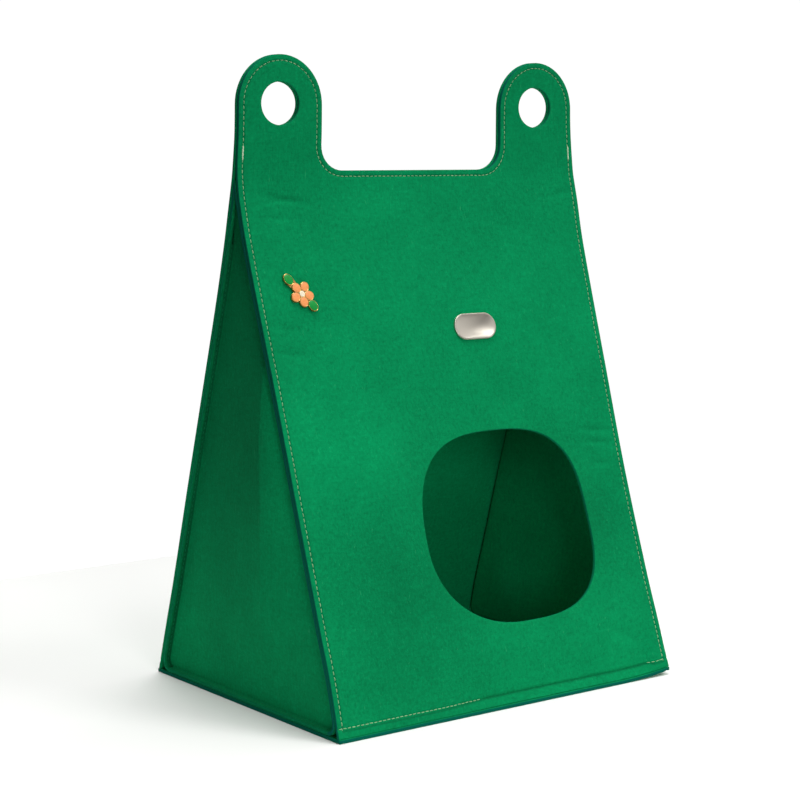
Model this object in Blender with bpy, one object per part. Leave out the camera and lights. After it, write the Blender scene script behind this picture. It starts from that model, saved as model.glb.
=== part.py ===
"""Felt cat cave: a tent of stiff felt panels that stands on its own base.

A front and a rear panel lean together and are sewn to each other along their
tops, where they carry on upwards as two rounded ears with a hanging hole in
each.  A triangular gusset closes each side, and a flat panel closes the
bottom.  Every seam is sewn with its raw margins turned outwards.  The front
panel has a rounded entrance, a blank oval metal plate and an enamel pin.

Frame, in metres: the origin is on the floor under the middle of the base,
the entrance side faces -Y, +X is to the right as seen by someone facing the
entrance, and +Z is up.
"""

import math

import bmesh
import bpy
from mathutils import Matrix, Vector

# ---- felt and seams ----
FELT = 0.0035               # thickness of every felt panel
GAP = 0.0003                # air left between neighbouring pieces
SEAM_MARGIN = 0.008         # raw margin that stands outside each seam

# ---- the tent ----
BASE_WIDTH = 0.400          # left to right on the floor
BASE_DEPTH = 0.314          # front to back on the floor
APEX_HEIGHT = 0.506         # where the straight slopes would cross
APEX_SOFTNESS = 0.003       # rounds the bend where slope turns into ear
RIGHT_WAIST = 0.0027        # how far the right edge draws in at mid height
RIGHT_CORNER_FLARE = 0.001  # how far the lower right corner spreads
CORNER_FLARE_HEIGHT = 0.030
CORNER_CURL = 0.0042        # how far the front right corner curls off the floor
CURL_REACH = 0.064          # distance from the corner where the curl starts
CURL_FADE = 0.080           # height above which the curl has died out

# ---- how the leaning panels bow and how the top is twisted on the base ----
# height, inward bow of both panels, rearward shift at the left and right edge
PANEL_SHAPE = (
    (0.000, 0.0000, 0.0000, 0.0000),
    (0.050, -0.0010, -0.0013, 0.0006),
    (0.100, 0.0004, -0.0008, 0.0012),
    (0.200, 0.0014, 0.0010, 0.0018),
    (0.300, 0.0026, 0.0023, -0.0008),
    (0.380, 0.0042, 0.0042, -0.0028),
    (0.430, 0.0042, 0.0058, -0.0034),
    (0.470, 0.0024, 0.0066, -0.0042),
    (0.500, 0.0002, 0.0050, -0.0016),
    (0.535, 0.0000, 0.0016, 0.0000),
    (0.603, 0.0000, 0.0000, 0.0000),
)
BOW, LEFT_SHIFT, RIGHT_SHIFT = 1, 2, 3

# ---- slow swells of the front panel: middle across and up, reach, depth inwards ----
FRONT_SWELLS = (
    (-0.100, 0.230, 0.055, -0.0036),
    (0.166, 0.180, 0.036, 0.0022),
)
SWELL_HOLD = 0.040          # nearer to a side seam than this, a swell dies out

# ---- the front panel's lower margin, turned out along its stitched crease ----
LIP_HEIGHT = 0.0125         # height of the crease
LIP_INSET = 0.0038          # how far the crease sits behind the straight slope
LIP_FADE = 0.050            # height over which the inset dies out
LIP_RISE = 0.0018           # how much higher the turned-out edge rides
LIP_START = (-0.095, -0.015)    # across, where the lip turns out
LIP_END = (0.172, 0.188)        # across, where it dies out again

# ---- ears, and the notch between them ----
EAR_TOP = 0.603
LEFT_EAR_INNER = -0.1088
RIGHT_EAR_INNER = 0.1057
RIGHT_EAR_OUTER = 0.1982
NOTCH_HEIGHT = 0.4972
NOTCH_FILLET = 0.0240
EAR_HOLE_HEIGHT = 0.5585
LEFT_HOLE_X = -0.1550       # the two hole centres
RIGHT_HOLE_X = 0.1503
EAR_HOLE_WIDTH = 0.0415
EAR_HOLE_TALL = 0.0395

# ---- entrance ----
ENTRANCE_CENTRE = (0.0360, 0.1557)
ENTRANCE_HALF_WIDTH = 0.1014
ENTRANCE_UP = 0.0936
ENTRANCE_DOWN = 0.0818
# quadrants counter-clockwise from +X: squareness (2 is round), half height
ENTRANCE_QUADRANTS = (
    (2.9, ENTRANCE_UP),
    (2.7, ENTRANCE_UP),
    (2.25, ENTRANCE_DOWN),
    (3.0, ENTRANCE_DOWN),
)

# ---- side gussets ----
FOLD_RADIUS = 0.0035        # of the mid surface, where the margins turn out
GUSSET_CORNER = 0.0115      # rounding of the two lower corners
GUSSET_RIDGE = 0.0065       # how far the upright crease stands out at most
RIDGE_PLACE = -0.033        # front to back
RIDGE_ROWS = (0.020, 0.110)     # heights between which the crease grows
RIDGE_SLANT = 0.20          # out per metre back from the front seam, where that is less
REAR_FULLNESS = 0.6         # how round the web behind the crease is, 0 to 1

# ---- oval plate on the front ----
PLATE_PLACE = (0.0395, 0.3470)  # across, up
PLATE_WIDTH = 0.0500
PLATE_TALL = 0.0256
PLATE_THICK = 0.0018
PLATE_EDGE = 0.0006

# ---- enamel pin on the front: a flower between two leaves ----
PIN_PLACE = (-0.1520, 0.3850)
PIN_TURN = math.radians(-50.0)
PIN_BACK = 0.0012           # thickness of its metal back
PIN_ENAMEL = 0.0007         # thickness of each enamel field
PIN_RIM = 0.0008            # metal left showing round each field
PETALS = 5
PETAL_REACH = 0.0076        # from the flower's middle to a petal's middle
PETAL_LENGTH = 0.0044       # half lengths and half widths of the fields
PETAL_WIDTH = 0.0040
HEART_RADIUS = 0.0028
LEAF_REACHES = (0.0150, 0.0184)     # from the flower's middle to the leaves' middles
LEAF_LENGTH = 0.0052
LEAF_WIDTH = 0.0042

# ---- steps ----
SLOPE_STEP = 0.002          # heights compared to find a panel's slope
ACROSS_STEP = 0.010         # places compared to find its turn across
PANEL_ROWS = (0.0125, 0.035, 0.070, 0.110, 0.155, 0.200, 0.250, 0.300, 0.345,
              0.385, 0.420, 0.445, 0.465, 0.482, 0.500, 0.520, 0.550)
PANEL_COLUMNS = (-0.175, -0.150, -0.122, -0.095, -0.055, -0.015, 0.140, 0.156, 0.172, 0.188)
GUSSET_ROWS = (0.055, 0.110, 0.165, 0.220, 0.275, 0.325, 0.370, 0.405, 0.432)
STRIP_COLUMNS = 2           # of a gusset's web, in front of the crease
WEB_COLUMNS = 8             # behind it
STRIP_SHARE = 0.12          # of the web's depth: the least that the front strip takes
EAR_STEPS = 20
FILLET_STEPS = 8
HOLE_STEPS = 24
QUADRANT_STEPS = 11
CURL_STEPS = 4
CORNER_STEPS = 4
PLATE_STEPS = 10
PIN_STEPS = 90
ENAMEL_STEPS = 18
SMOOTH_ANGLE = math.radians(30.0)

LEFT, RIGHT = -1, 1
FRONT_SIDE, REAR_SIDE = -1, 1


# ---------------------------------------------------------------- small maths
def eased(start, end, value):
    """0 before start, 1 after end, and a soft S between them."""
    t = min(max((value - start) / (end - start), 0.0), 1.0)
    return t * t * (3.0 - 2.0 * t)


def soft_max(a, b, softness):
    """The larger of a and b, with the corner between them rounded."""
    return 0.5 * (a + b + math.hypot(a - b, softness))


def panel_shape(height, column):
    """A column of PANEL_SHAPE at a height, on a smooth curve through its rows."""
    rows = PANEL_SHAPE
    if height >= rows[-1][0]:
        return rows[-1][column]
    i = max(k for k in range(len(rows) - 1) if rows[k][0] <= max(height, 0.0))
    lower, upper = rows[i], rows[i + 1]
    before, after = rows[max(i - 1, 0)], rows[min(i + 2, len(rows) - 1)]
    span = upper[0] - lower[0]
    t = (max(height, 0.0) - lower[0]) / span
    rise_in = (upper[column] - before[column]) / (upper[0] - before[0]) * span
    rise_out = (after[column] - lower[column]) / (after[0] - lower[0]) * span
    return (
        (2 * t**3 - 3 * t**2 + 1) * lower[column]
        + (t**3 - 2 * t**2 + t) * rise_in
        + (3 * t**2 - 2 * t**3) * upper[column]
        + (t**3 - t**2) * rise_out
    )


# ------------------------------------------------------- shape of the panels
def curl_corner(bm):
    """Lifts whatever lies near the front right corner of the base."""
    corner = Vector((BASE_WIDTH / 2, -BASE_DEPTH / 2))
    for v in bm.verts:
        share = max(1.0 - (v.co.xy - corner).length / CURL_REACH, 0.0)
        v.co.z += CORNER_CURL * share**2 * (1.0 - eased(0.0, CURL_FADE, v.co.z))


def edge_x(side, height):
    """Distance of a panel's side edge from the middle, at a height."""
    share = min(max(height / APEX_HEIGHT, 0.0), 1.0)
    reach = BASE_WIDTH / 2
    if side == RIGHT:
        reach -= RIGHT_WAIST * math.sin(math.pi * share)
        reach += RIGHT_CORNER_FLARE * (1.0 - eased(0.0, CORNER_FLARE_HEIGHT, height))
    return reach


def lip(x):
    """How far the front panel's lower margin is turned out, from 0 to 1."""
    return eased(*LIP_START, x) * (1.0 - eased(*LIP_END, x))


def front_swell(x, height):
    """How far the front panel's slow swells take it inwards."""
    side = LEFT if x < 0.0 else RIGHT
    held = eased(0.0, SWELL_HOLD, edge_x(side, height) - abs(x))
    depth = 0.0
    for middle_x, middle_z, reach, deep in FRONT_SWELLS:
        away = math.hypot(x - middle_x, height - middle_z) / reach
        depth += held * deep * math.exp(-away * away)
    return depth


def face_y(panel_side, x, height):
    """Where the outer face of the front or rear panel stands, front to back."""
    slope = BASE_DEPTH / 2 * (1.0 - height / APEX_HEIGHT)
    inwards = panel_shape(height, BOW)
    if panel_side == FRONT_SIDE:
        inwards += front_swell(x, height)
        above = eased(LIP_HEIGHT, LIP_HEIGHT + LIP_FADE, height)
        below = eased(0.0, LIP_HEIGHT, height)
        inwards += LIP_INSET * lip(x) * below * (1.0 - above)
    across = x / BASE_WIDTH + 0.5
    left, right = panel_shape(height, LEFT_SHIFT), panel_shape(height, RIGHT_SHIFT)
    middle = left + (right - left) * across
    pressed = FELT + GAP / 2
    return middle + panel_side * soft_max(slope - inwards, pressed, APEX_SOFTNESS)


def lean(panel_side, x, height):
    """How fast a panel's outer face moves inwards, per metre of height."""
    above = face_y(panel_side, x, height + SLOPE_STEP)
    below = face_y(panel_side, x, height - SLOPE_STEP)
    return panel_side * (below - above) / (2 * SLOPE_STEP)


def back_y(panel_side, x, height, depth):
    """A surface parallel to a panel's outer face, depth behind it."""
    stretch = math.hypot(1.0, lean(panel_side, x, height))
    return face_y(panel_side, x, height) - panel_side * depth * stretch


def face_frame(x, height, lift):
    """A frame on the front panel: X across, Y up the slope, Z out of it."""
    place = Vector((x, face_y(FRONT_SIDE, x, height), height))
    up = Vector((0.0, lean(FRONT_SIDE, x, height), 1.0)).normalized()
    right_y = face_y(FRONT_SIDE, x + ACROSS_STEP, height)
    left_y = face_y(FRONT_SIDE, x - ACROSS_STEP, height)
    across = Vector((2 * ACROSS_STEP, right_y - left_y, 0.0)).normalized()
    out = across.cross(up).normalized()
    up = out.cross(across)
    turned = Matrix((across, up, out)).transposed().to_4x4()
    return Matrix.Translation(place + out * lift) @ turned


# ------------------------------------------------------------------ outlines
def arc(centre, radius, start, end, steps):
    """Points along a circular arc, angles in degrees, both ends included."""
    points = []
    for i in range(steps + 1):
        a = math.radians(start + (end - start) * i / steps)
        points.append((centre[0] + radius * math.cos(a), centre[1] + radius * math.sin(a)))
    return points


def oval(centre, half_width, half_height, steps):
    """A closed ellipse."""
    ring = arc((0.0, 0.0), 1.0, 0.0, 360.0, steps)[:-1]
    return [(centre[0] + half_width * c, centre[1] + half_height * s) for c, s in ring]


def panel_bottom(panel_side, x):
    """Height of the outer face's lower edge: its inner edge rests on the base."""
    turned_out = lip(x) if panel_side == FRONT_SIDE else 0.0
    tilt = math.atan(BASE_DEPTH / 2 / APEX_HEIGHT)
    return FELT + GAP + FELT * math.sin(tilt) + LIP_RISE * turned_out


def panel_outline(panel_side):
    """The front or rear panel's outline seen square on, counter-clockwise."""
    low = panel_bottom(panel_side, BASE_WIDTH / 2)
    bottom = [(-edge_x(LEFT, low), low)]
    if panel_side == FRONT_SIDE:
        for x in PANEL_COLUMNS:
            bottom.append((x, panel_bottom(panel_side, x)))
    bottom.append((edge_x(RIGHT, low), low))
    sloping = [z for z in PANEL_ROWS if z < APEX_HEIGHT]
    right_edge = [(edge_x(RIGHT, z), z) for z in sloping]
    left_edge = [(-edge_x(LEFT, z), z) for z in reversed(sloping)]

    right_radius = (RIGHT_EAR_OUTER - RIGHT_EAR_INNER) / 2
    right_centre = (RIGHT_EAR_OUTER - right_radius, EAR_TOP - right_radius)
    left_outer = -edge_x(LEFT, APEX_HEIGHT)
    left_radius = (LEFT_EAR_INNER - left_outer) / 2
    left_centre = (left_outer + left_radius, EAR_TOP - left_radius)

    fillet_height = NOTCH_HEIGHT + NOTCH_FILLET
    right_fillet = (RIGHT_EAR_INNER - NOTCH_FILLET, fillet_height)
    left_fillet = (LEFT_EAR_INNER + NOTCH_FILLET, fillet_height)
    return (
        bottom
        + right_edge
        + arc(right_centre, right_radius, 0.0, 180.0, EAR_STEPS)
        + arc(right_fillet, NOTCH_FILLET, 0.0, -90.0, FILLET_STEPS)
        + arc(left_fillet, NOTCH_FILLET, -90.0, -180.0, FILLET_STEPS)
        + arc(left_centre, left_radius, 0.0, 180.0, EAR_STEPS)
        + left_edge
    )


def entrance_outline():
    """A rounded opening whose four corners have their own squareness."""
    points = []
    for number, (squareness, half_height) in enumerate(ENTRANCE_QUADRANTS):
        for i in range(QUADRANT_STEPS):
            a = math.radians(90.0 * (number + i / QUADRANT_STEPS))
            c, s = math.cos(a), math.sin(a)
            power = 2.0 / squareness
            x = math.copysign(abs(c) ** power, c) * ENTRANCE_HALF_WIDTH
            z = math.copysign(abs(s) ** power, s) * half_height
            points.append((ENTRANCE_CENTRE[0] + x, ENTRANCE_CENTRE[1] + z))
    return points


def ear_hole(x):
    """The hanging hole of an ear."""
    return oval((x, EAR_HOLE_HEIGHT), EAR_HOLE_WIDTH / 2, EAR_HOLE_TALL / 2, HOLE_STEPS)


# ----------------------------------------------------------- Blender helpers
def clear_scene():
    for old in list(bpy.data.objects):
        bpy.data.objects.remove(old, do_unlink=True)


def linear(hex_code):
    """A colour written as #RRGGBB, in the linear values that shaders take."""
    channels = []
    for i in (1, 3, 5):
        value = int(hex_code[i:i + 2], 16) / 255.0
        channels.append(value / 12.92 if value <= 0.04045 else ((value + 0.055) / 1.055) ** 2.4)
    return channels


def material(name, hex_code, roughness, metallic=0.0):
    colour = linear(hex_code)
    made = bpy.data.materials.new(name)
    made.use_nodes = True
    shader = made.node_tree.nodes["Principled BSDF"]
    shader.inputs["Base Color"].default_value = (*colour, 1.0)
    shader.inputs["Roughness"].default_value = roughness
    shader.inputs["Metallic"].default_value = metallic
    made.diffuse_color = (*colour, 1.0)
    return made


def add_object(name, bm, finish, parent):
    """Turns a bmesh into a named object with one material."""
    mesh = bpy.data.meshes.new(name)
    bm.to_mesh(mesh)
    bm.free()
    mesh.materials.append(finish)
    made = bpy.data.objects.new(name, mesh)
    bpy.context.collection.objects.link(made)
    made.parent = parent
    return made


def add_felt_thickness(piece, offset):
    """Gives a felt surface its thickness, behind it (-1) or to both sides (0)."""
    thick = piece.modifiers.new("felt thickness", "SOLIDIFY")
    thick.thickness = FELT
    thick.offset = offset
    thick.use_even_offset = True


# -------------------------------------------------------------- felt panels
def cut_flat(bm, direction, place):
    """Adds a straight row of points right across a flat sheet."""
    everything = list(bm.verts) + list(bm.edges) + list(bm.faces)
    co = Vector(direction) * place
    bmesh.ops.bisect_plane(bm, geom=everything, dist=1e-6, plane_co=co, plane_no=direction)


def make_panel(name, panel_side, holes, felt, parent):
    """A leaning panel: cut flat from felt, holes punched, then bent to its slope."""
    bm = bmesh.new()
    for loop in [panel_outline(panel_side)] + holes:
        ring = [bm.verts.new((x, 0.0, z)) for x, z in loop]
        for i, v in enumerate(ring):
            bm.edges.new((v, ring[(i + 1) % len(ring)]))
    bmesh.ops.triangle_fill(bm, edges=list(bm.edges), use_beauty=True)
    for height in PANEL_ROWS:
        cut_flat(bm, (0.0, 0.0, 1.0), height)
    if panel_side == FRONT_SIDE:
        for x in PANEL_COLUMNS:
            cut_flat(bm, (1.0, 0.0, 0.0), x)
    for face in bm.faces:
        face.normal_update()
        if face.normal.y * panel_side < 0.0:
            face.normal_flip()
    for v in bm.verts:
        v.co.y = face_y(panel_side, v.co.x, v.co.z)
    curl_corner(bm)
    panel = add_object(name, bm, felt, parent)
    add_felt_thickness(panel, -1.0)
    return panel


def make_base(felt, parent):
    """The flat bottom panel."""
    bm = bmesh.new()
    bmesh.ops.create_cube(bm, size=1.0)
    bmesh.ops.scale(bm, vec=(BASE_WIDTH, BASE_DEPTH, FELT), verts=bm.verts)
    bmesh.ops.translate(bm, vec=(0.0, 0.0, FELT / 2), verts=bm.verts)
    for i in range(1, CURL_STEPS + 1):
        reach = CURL_REACH * i / CURL_STEPS
        cut_flat(bm, (1.0, 0.0, 0.0), BASE_WIDTH / 2 - reach)
        cut_flat(bm, (0.0, 1.0, 0.0), reach - BASE_DEPTH / 2)
    curl_corner(bm)
    return add_object("base_panel", bm, felt, parent)


# ------------------------------------------------------------------ gussets
def crease_place(front):
    """Where the crease of a gusset stands, front to back, at the height of its front limit."""
    return max(RIDGE_PLACE, front)


def ridge(y, height, front, rear):
    """How far a gusset's web stands out in front of and behind its crease."""
    place = crease_place(front)
    reach = min(GUSSET_RIDGE, RIDGE_SLANT * (place - front)) * eased(*RIDGE_ROWS, height)
    if y < place:
        return reach * (y - front) / (place - front)
    share = (rear - y) / (rear - place)
    return reach * share * (1.0 + REAR_FULLNESS * (1.0 - share))


def web_columns(front, rear):
    """Where the columns of a row of the web stand; one of them is on the crease."""
    place = max(crease_place(front), front + STRIP_SHARE * (rear - front))
    strip = [front + (place - front) * k / STRIP_COLUMNS for k in range(STRIP_COLUMNS)]
    return strip + [place + (rear - place) * k / WEB_COLUMNS for k in range(WEB_COLUMNS + 1)]


def gusset_ends(side, height, inset):
    """Front and rear limits of a gusset, inset from the panels' inner faces."""
    x = side * edge_x(side, height)
    front = back_y(FRONT_SIDE, x, height, FELT + inset)
    rear = back_y(REAR_SIDE, x, height, FELT + inset)
    return front, rear


def gusset_tip(side, inset):
    """Height at which the two limits of a gusset meet."""
    low, high = GUSSET_ROWS[-1], APEX_HEIGHT
    for _ in range(40):
        middle = (low + high) / 2
        front, rear = gusset_ends(side, middle, inset)
        if rear > front:
            low = middle
        else:
            high = middle
    return low


def make_gusset(name, side, felt, parent):
    """A side panel: a web set in from the edges, its margins turned outwards."""
    wall_inset = 1.5 * GAP + FELT / 2
    web_inset = wall_inset + FOLD_RADIUS
    floor = FELT + wall_inset + FOLD_RADIUS
    corner = GUSSET_CORNER - FOLD_RADIUS

    bm = bmesh.new()
    rows = []
    for i in range(CORNER_STEPS + 1):
        a = math.radians(90.0 * i / CORNER_STEPS)
        height = floor + corner * (1.0 - math.cos(a))
        front, rear = gusset_ends(side, height, web_inset)
        cut = corner * (1.0 - math.sin(a))
        rows.append((height, front + cut, rear - cut))
    for height in GUSSET_ROWS:
        rows.append((height, *gusset_ends(side, height, web_inset)))

    grid = []
    for height, front, rear in rows:
        line = []
        for y in web_columns(front, rear):
            reach = edge_x(side, height) - SEAM_MARGIN + ridge(y, height, front, rear)
            line.append(bm.verts.new((side * reach, y, height)))
        grid.append(line)
    tip_height = gusset_tip(side, web_inset)
    tip_y = sum(gusset_ends(side, tip_height, web_inset)) / 2
    tip = bm.verts.new((side * (edge_x(side, tip_height) - SEAM_MARGIN), tip_y, tip_height))

    columns = range(STRIP_COLUMNS + WEB_COLUMNS)
    for lower, upper in zip(grid, grid[1:]):
        for k in columns:
            bm.faces.new((lower[k], lower[k + 1], upper[k + 1], upper[k]))
    for k in columns:
        bm.faces.new((grid[-1][k], grid[-1][k + 1], tip))

    front_side = [line[0] for line in grid[1:]]
    rear_side = [line[-1] for line in grid[1:]]
    loop = list(grid[0]) + rear_side + [tip] + list(reversed(front_side))
    turn_out_margin(bm, loop, side)

    bmesh.ops.recalc_face_normals(bm, faces=bm.faces)
    curl_corner(bm)
    gusset = add_object(name, bm, felt, parent)
    add_felt_thickness(gusset, 0.0)
    return gusset


def turn_out_margin(bm, loop, side):
    """Folds a margin outwards all along a closed edge loop of a gusset's web."""
    outward = []
    count = len(loop)
    for i, v in enumerate(loop):
        before = (v.co - loop[i - 1].co)
        after = (loop[(i + 1) % count].co - v.co)
        normals = []
        for run in (before, after):
            normals.append(Vector((0.0, run.z, -run.y)).normalized())
        middle = (normals[0] + normals[1]).normalized()
        outward.append(middle / max(middle.dot(normals[0]), 0.2))
    start = [v.co.copy() for v in loop]
    rings = []
    for degrees in (30.0, 60.0, 90.0):
        a = math.radians(degrees)
        rings.append((FOLD_RADIUS * math.sin(a), FOLD_RADIUS * (1.0 - math.cos(a))))
    rings.append((FOLD_RADIUS, SEAM_MARGIN))
    inner = loop
    for out, rise in rings:
        outer = []
        for co, normal in zip(start, outward):
            outer.append(bm.verts.new(co + normal * out + Vector((side * rise, 0.0, 0.0))))
        for i in range(count):
            k = (i + 1) % count
            bm.faces.new((inner[i], inner[k], outer[k], outer[i]))
        inner = outer


# ------------------------------------------------------- plate and enamel pin
def slab(name, outline, thickness, edge, finish, parent):
    """A flat piece of the given outline, its upper rim bevelled by edge."""
    bm = bmesh.new()
    lower = bm.faces.new([bm.verts.new((x, y, 0.0)) for x, y in outline])
    grown = bmesh.ops.extrude_face_region(bm, geom=[lower])["geom"]
    raised = [v for v in grown if isinstance(v, bmesh.types.BMVert)]
    bmesh.ops.translate(bm, vec=(0.0, 0.0, thickness), verts=raised)
    bmesh.ops.recalc_face_normals(bm, faces=bm.faces)
    if edge:
        rim = [e for e in bm.edges if all(v in raised for v in e.verts)]
        bmesh.ops.bevel(bm, geom=rim, offset=edge, segments=2, profile=0.5, affect="EDGES")
    piece = add_object(name, bm, finish, parent)
    piece.data.shade_smooth()
    piece.data.set_sharp_from_angle(angle=SMOOTH_ANGLE)
    return piece


def stadium(width, tall, steps):
    """An oval with straight top and bottom and half-round ends."""
    radius = tall / 2
    reach = width / 2 - radius
    right = arc((reach, 0.0), radius, -90.0, 90.0, steps)
    return right + arc((-reach, 0.0), radius, 90.0, 270.0, steps)


def make_plate(metal, parent):
    plate = slab(
        "oval_plate",
        stadium(PLATE_WIDTH, PLATE_TALL, PLATE_STEPS),
        PLATE_THICK,
        PLATE_EDGE,
        metal,
        parent,
    )
    plate.matrix_local = face_frame(*PLATE_PLACE, 1.5 * GAP)
    return plate


def far_side(angle, reach, length, width):
    """How far out a ray at an angle leaves an ellipse that lies reach away."""
    c, s = math.cos(angle), math.sin(angle)
    a = (c / length) ** 2 + (s / width) ** 2
    b = -2.0 * reach * c / length**2
    k = (reach / length) ** 2 - 1.0
    inside = b * b - 4.0 * a * k
    if inside < 0.0 or c <= 0.0:
        return 0.0
    return (-b + math.sqrt(inside)) / (2.0 * a)


def petal_angles():
    return [2.0 * math.pi * i / PETALS for i in range(PETALS)]


def leaf_angles():
    """One leaf between two petals, the other straight across, behind a petal."""
    return [math.pi / PETALS, math.pi / PETALS + math.pi]


def pin_outline():
    """The outer edge of petals and leaves together, with the metal rim."""
    points = []
    for i in range(PIN_STEPS):
        angle = 2.0 * math.pi * i / PIN_STEPS
        radius = 0.0
        for turn in petal_angles():
            size = (PETAL_REACH, PETAL_LENGTH + PIN_RIM, PETAL_WIDTH + PIN_RIM)
            radius = max(radius, far_side(angle - turn, *size))
        for turn, reach in zip(leaf_angles(), LEAF_REACHES):
            size = (reach, LEAF_LENGTH + PIN_RIM, LEAF_WIDTH + PIN_RIM)
            radius = max(radius, far_side(angle - turn, *size))
        points.append((radius * math.cos(angle), radius * math.sin(angle)))
    return points


def make_pin(metal, orange, cream, green, parent):
    """A metal back, and an enamel field for each petal, the heart and each leaf."""
    turned = Matrix.Rotation(PIN_TURN - leaf_angles()[0], 4, "Z")
    seat = face_frame(*PIN_PLACE, 1.5 * GAP) @ turned
    back = slab("pin_back", pin_outline(), PIN_BACK, 0.0, metal, parent)
    back.matrix_local = seat
    raised = Matrix.Translation((0.0, 0.0, PIN_BACK + GAP))

    heart = oval((0.0, 0.0), HEART_RADIUS, HEART_RADIUS, ENAMEL_STEPS)
    piece = slab("pin_heart", heart, PIN_ENAMEL, 0.0, cream, parent)
    piece.matrix_local = seat @ raised
    petal = oval((PETAL_REACH, 0.0), PETAL_LENGTH, PETAL_WIDTH, ENAMEL_STEPS)
    for number, turn in enumerate(petal_angles(), 1):
        piece = slab(f"pin_petal_{number}", petal, PIN_ENAMEL, 0.0, orange, parent)
        piece.matrix_local = seat @ raised @ Matrix.Rotation(turn, 4, "Z")
    for number, (turn, reach) in enumerate(zip(leaf_angles(), LEAF_REACHES), 1):
        leaf = oval((reach, 0.0), LEAF_LENGTH, LEAF_WIDTH, ENAMEL_STEPS)
        piece = slab(f"pin_leaf_{number}", leaf, PIN_ENAMEL, 0.0, green, parent)
        piece.matrix_local = seat @ raised @ Matrix.Rotation(turn, 4, "Z")


def build():
    clear_scene()
    cave = bpy.data.objects.new("cat_cave", None)
    bpy.context.collection.objects.link(cave)

    felt = material("green felt", "#0E8551", 0.95)
    steel = material("satin steel", "#C9C6BE", 0.35, 1.0)
    gilt = material("gilt metal", "#D9B36A", 0.30, 1.0)
    orange = material("orange enamel", "#F09A56", 0.25)
    cream = material("cream enamel", "#F6EBD2", 0.25)
    green = material("green enamel", "#14963A", 0.25)

    make_base(felt, cave)
    ear_holes = [ear_hole(LEFT_HOLE_X), ear_hole(RIGHT_HOLE_X)]
    make_panel("front_panel", FRONT_SIDE, ear_holes + [entrance_outline()], felt, cave)
    make_panel("rear_panel", REAR_SIDE, ear_holes, felt, cave)
    make_gusset("left_gusset", LEFT, felt, cave)
    make_gusset("right_gusset", RIGHT, felt, cave)
    make_plate(steel, cave)
    make_pin(gilt, orange, cream, green, cave)


build()
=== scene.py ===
# %% [markdown]
# # Felt cat cave
#
# A tent of stiff emerald felt: a front and a rear panel lean together and carry on
# upwards as two ears with a hanging hole each, a triangular gusset closes each side,
# and a flat felt bottom closes the tent below.  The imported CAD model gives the
# frame: every piece made here goes where the CAD says.

# %% Load the frame
import math
import random

import bmesh
import bpy
from mathutils import Matrix, Vector, noise


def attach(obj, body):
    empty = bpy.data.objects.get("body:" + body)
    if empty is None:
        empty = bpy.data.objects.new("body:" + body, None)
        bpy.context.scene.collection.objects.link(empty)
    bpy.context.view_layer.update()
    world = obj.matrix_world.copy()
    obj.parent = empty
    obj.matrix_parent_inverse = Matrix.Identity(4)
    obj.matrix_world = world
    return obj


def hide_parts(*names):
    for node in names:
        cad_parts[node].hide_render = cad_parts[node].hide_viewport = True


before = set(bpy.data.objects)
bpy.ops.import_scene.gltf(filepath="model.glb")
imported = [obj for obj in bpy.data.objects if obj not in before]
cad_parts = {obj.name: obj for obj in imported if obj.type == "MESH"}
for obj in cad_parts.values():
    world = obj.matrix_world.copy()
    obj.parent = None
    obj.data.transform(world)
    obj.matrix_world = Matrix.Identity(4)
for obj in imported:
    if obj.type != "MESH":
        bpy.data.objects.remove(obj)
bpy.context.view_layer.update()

# %% [markdown]
# ## The camera
#
# The picture was taken from in front and to the left, a little above the middle,
# with a long lens.  The four lower corners, the side edges and the ears of a tent of
# known size fix where the camera stood, so the numbers here come from that fit.

# %% Camera
CAMERA_LENS, CAMERA_FILM = 90.51, 36.0          # in millimetres
CAMERA_PLACE = (-1.18351, -1.55404, 0.51372)
CAMERA_DIP, CAMERA_TURN = 7.01, -36.91          # degrees below level, and to the left

camera_data = bpy.data.cameras.new("studio_camera")
camera_data.lens = CAMERA_LENS
camera_data.sensor_width = CAMERA_FILM
camera = bpy.data.objects.new("studio_camera", camera_data)
camera.location = CAMERA_PLACE
camera.rotation_euler = (math.radians(90.0 - CAMERA_DIP), 0.0, math.radians(CAMERA_TURN))
bpy.context.collection.objects.link(camera)
bpy.context.scene.camera = camera
print("camera at", tuple(round(v, 3) for v in camera.location))

# %% [markdown]
# ## The shape of the tent
#
# The felt is cut flat and sewn, so each panel is one surface with a rule: at a
# height, how far front or back does it stand?  The straight slopes meet at the
# apex, the panels bow inwards a little, and the top is twisted on the base.  These
# rules repeat those of the CAD, because a finer skin has to follow the same form.

# %% Sizes shared with the CAD, in metres
FELT = 0.0035               # thickness of the felt
GAP = 0.0003                # between two layers that are sewn together
SEAM_MARGIN = 0.008         # from a panel's side edge in to the gusset's web
BASE_WIDTH = 0.400
BASE_DEPTH = 0.314
APEX_HEIGHT = 0.506
APEX_SOFTNESS = 0.003
RIGHT_WAIST = 0.0027
RIGHT_CORNER_FLARE = 0.001
CORNER_FLARE_HEIGHT = 0.030
CORNER_CURL = 0.0042
CURL_REACH = 0.064
CURL_FADE = 0.080
# height, bow inwards, and how far the left and the right edge stand to the rear
PANEL_SHAPE = (
    (0.000, 0.0000, 0.0000, 0.0000),
    (0.050, -0.0010, -0.0013, 0.0006),
    (0.100, 0.0004, -0.0008, 0.0012),
    (0.200, 0.0014, 0.0010, 0.0018),
    (0.300, 0.0026, 0.0023, -0.0008),
    (0.380, 0.0042, 0.0042, -0.0028),
    (0.430, 0.0042, 0.0058, -0.0034),
    (0.470, 0.0024, 0.0066, -0.0042),
    (0.500, 0.0002, 0.0050, -0.0016),
    (0.535, 0.0000, 0.0016, 0.0000),
    (0.603, 0.0000, 0.0000, 0.0000),
)
BOW, LEFT_SHIFT, RIGHT_SHIFT = 1, 2, 3
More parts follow.
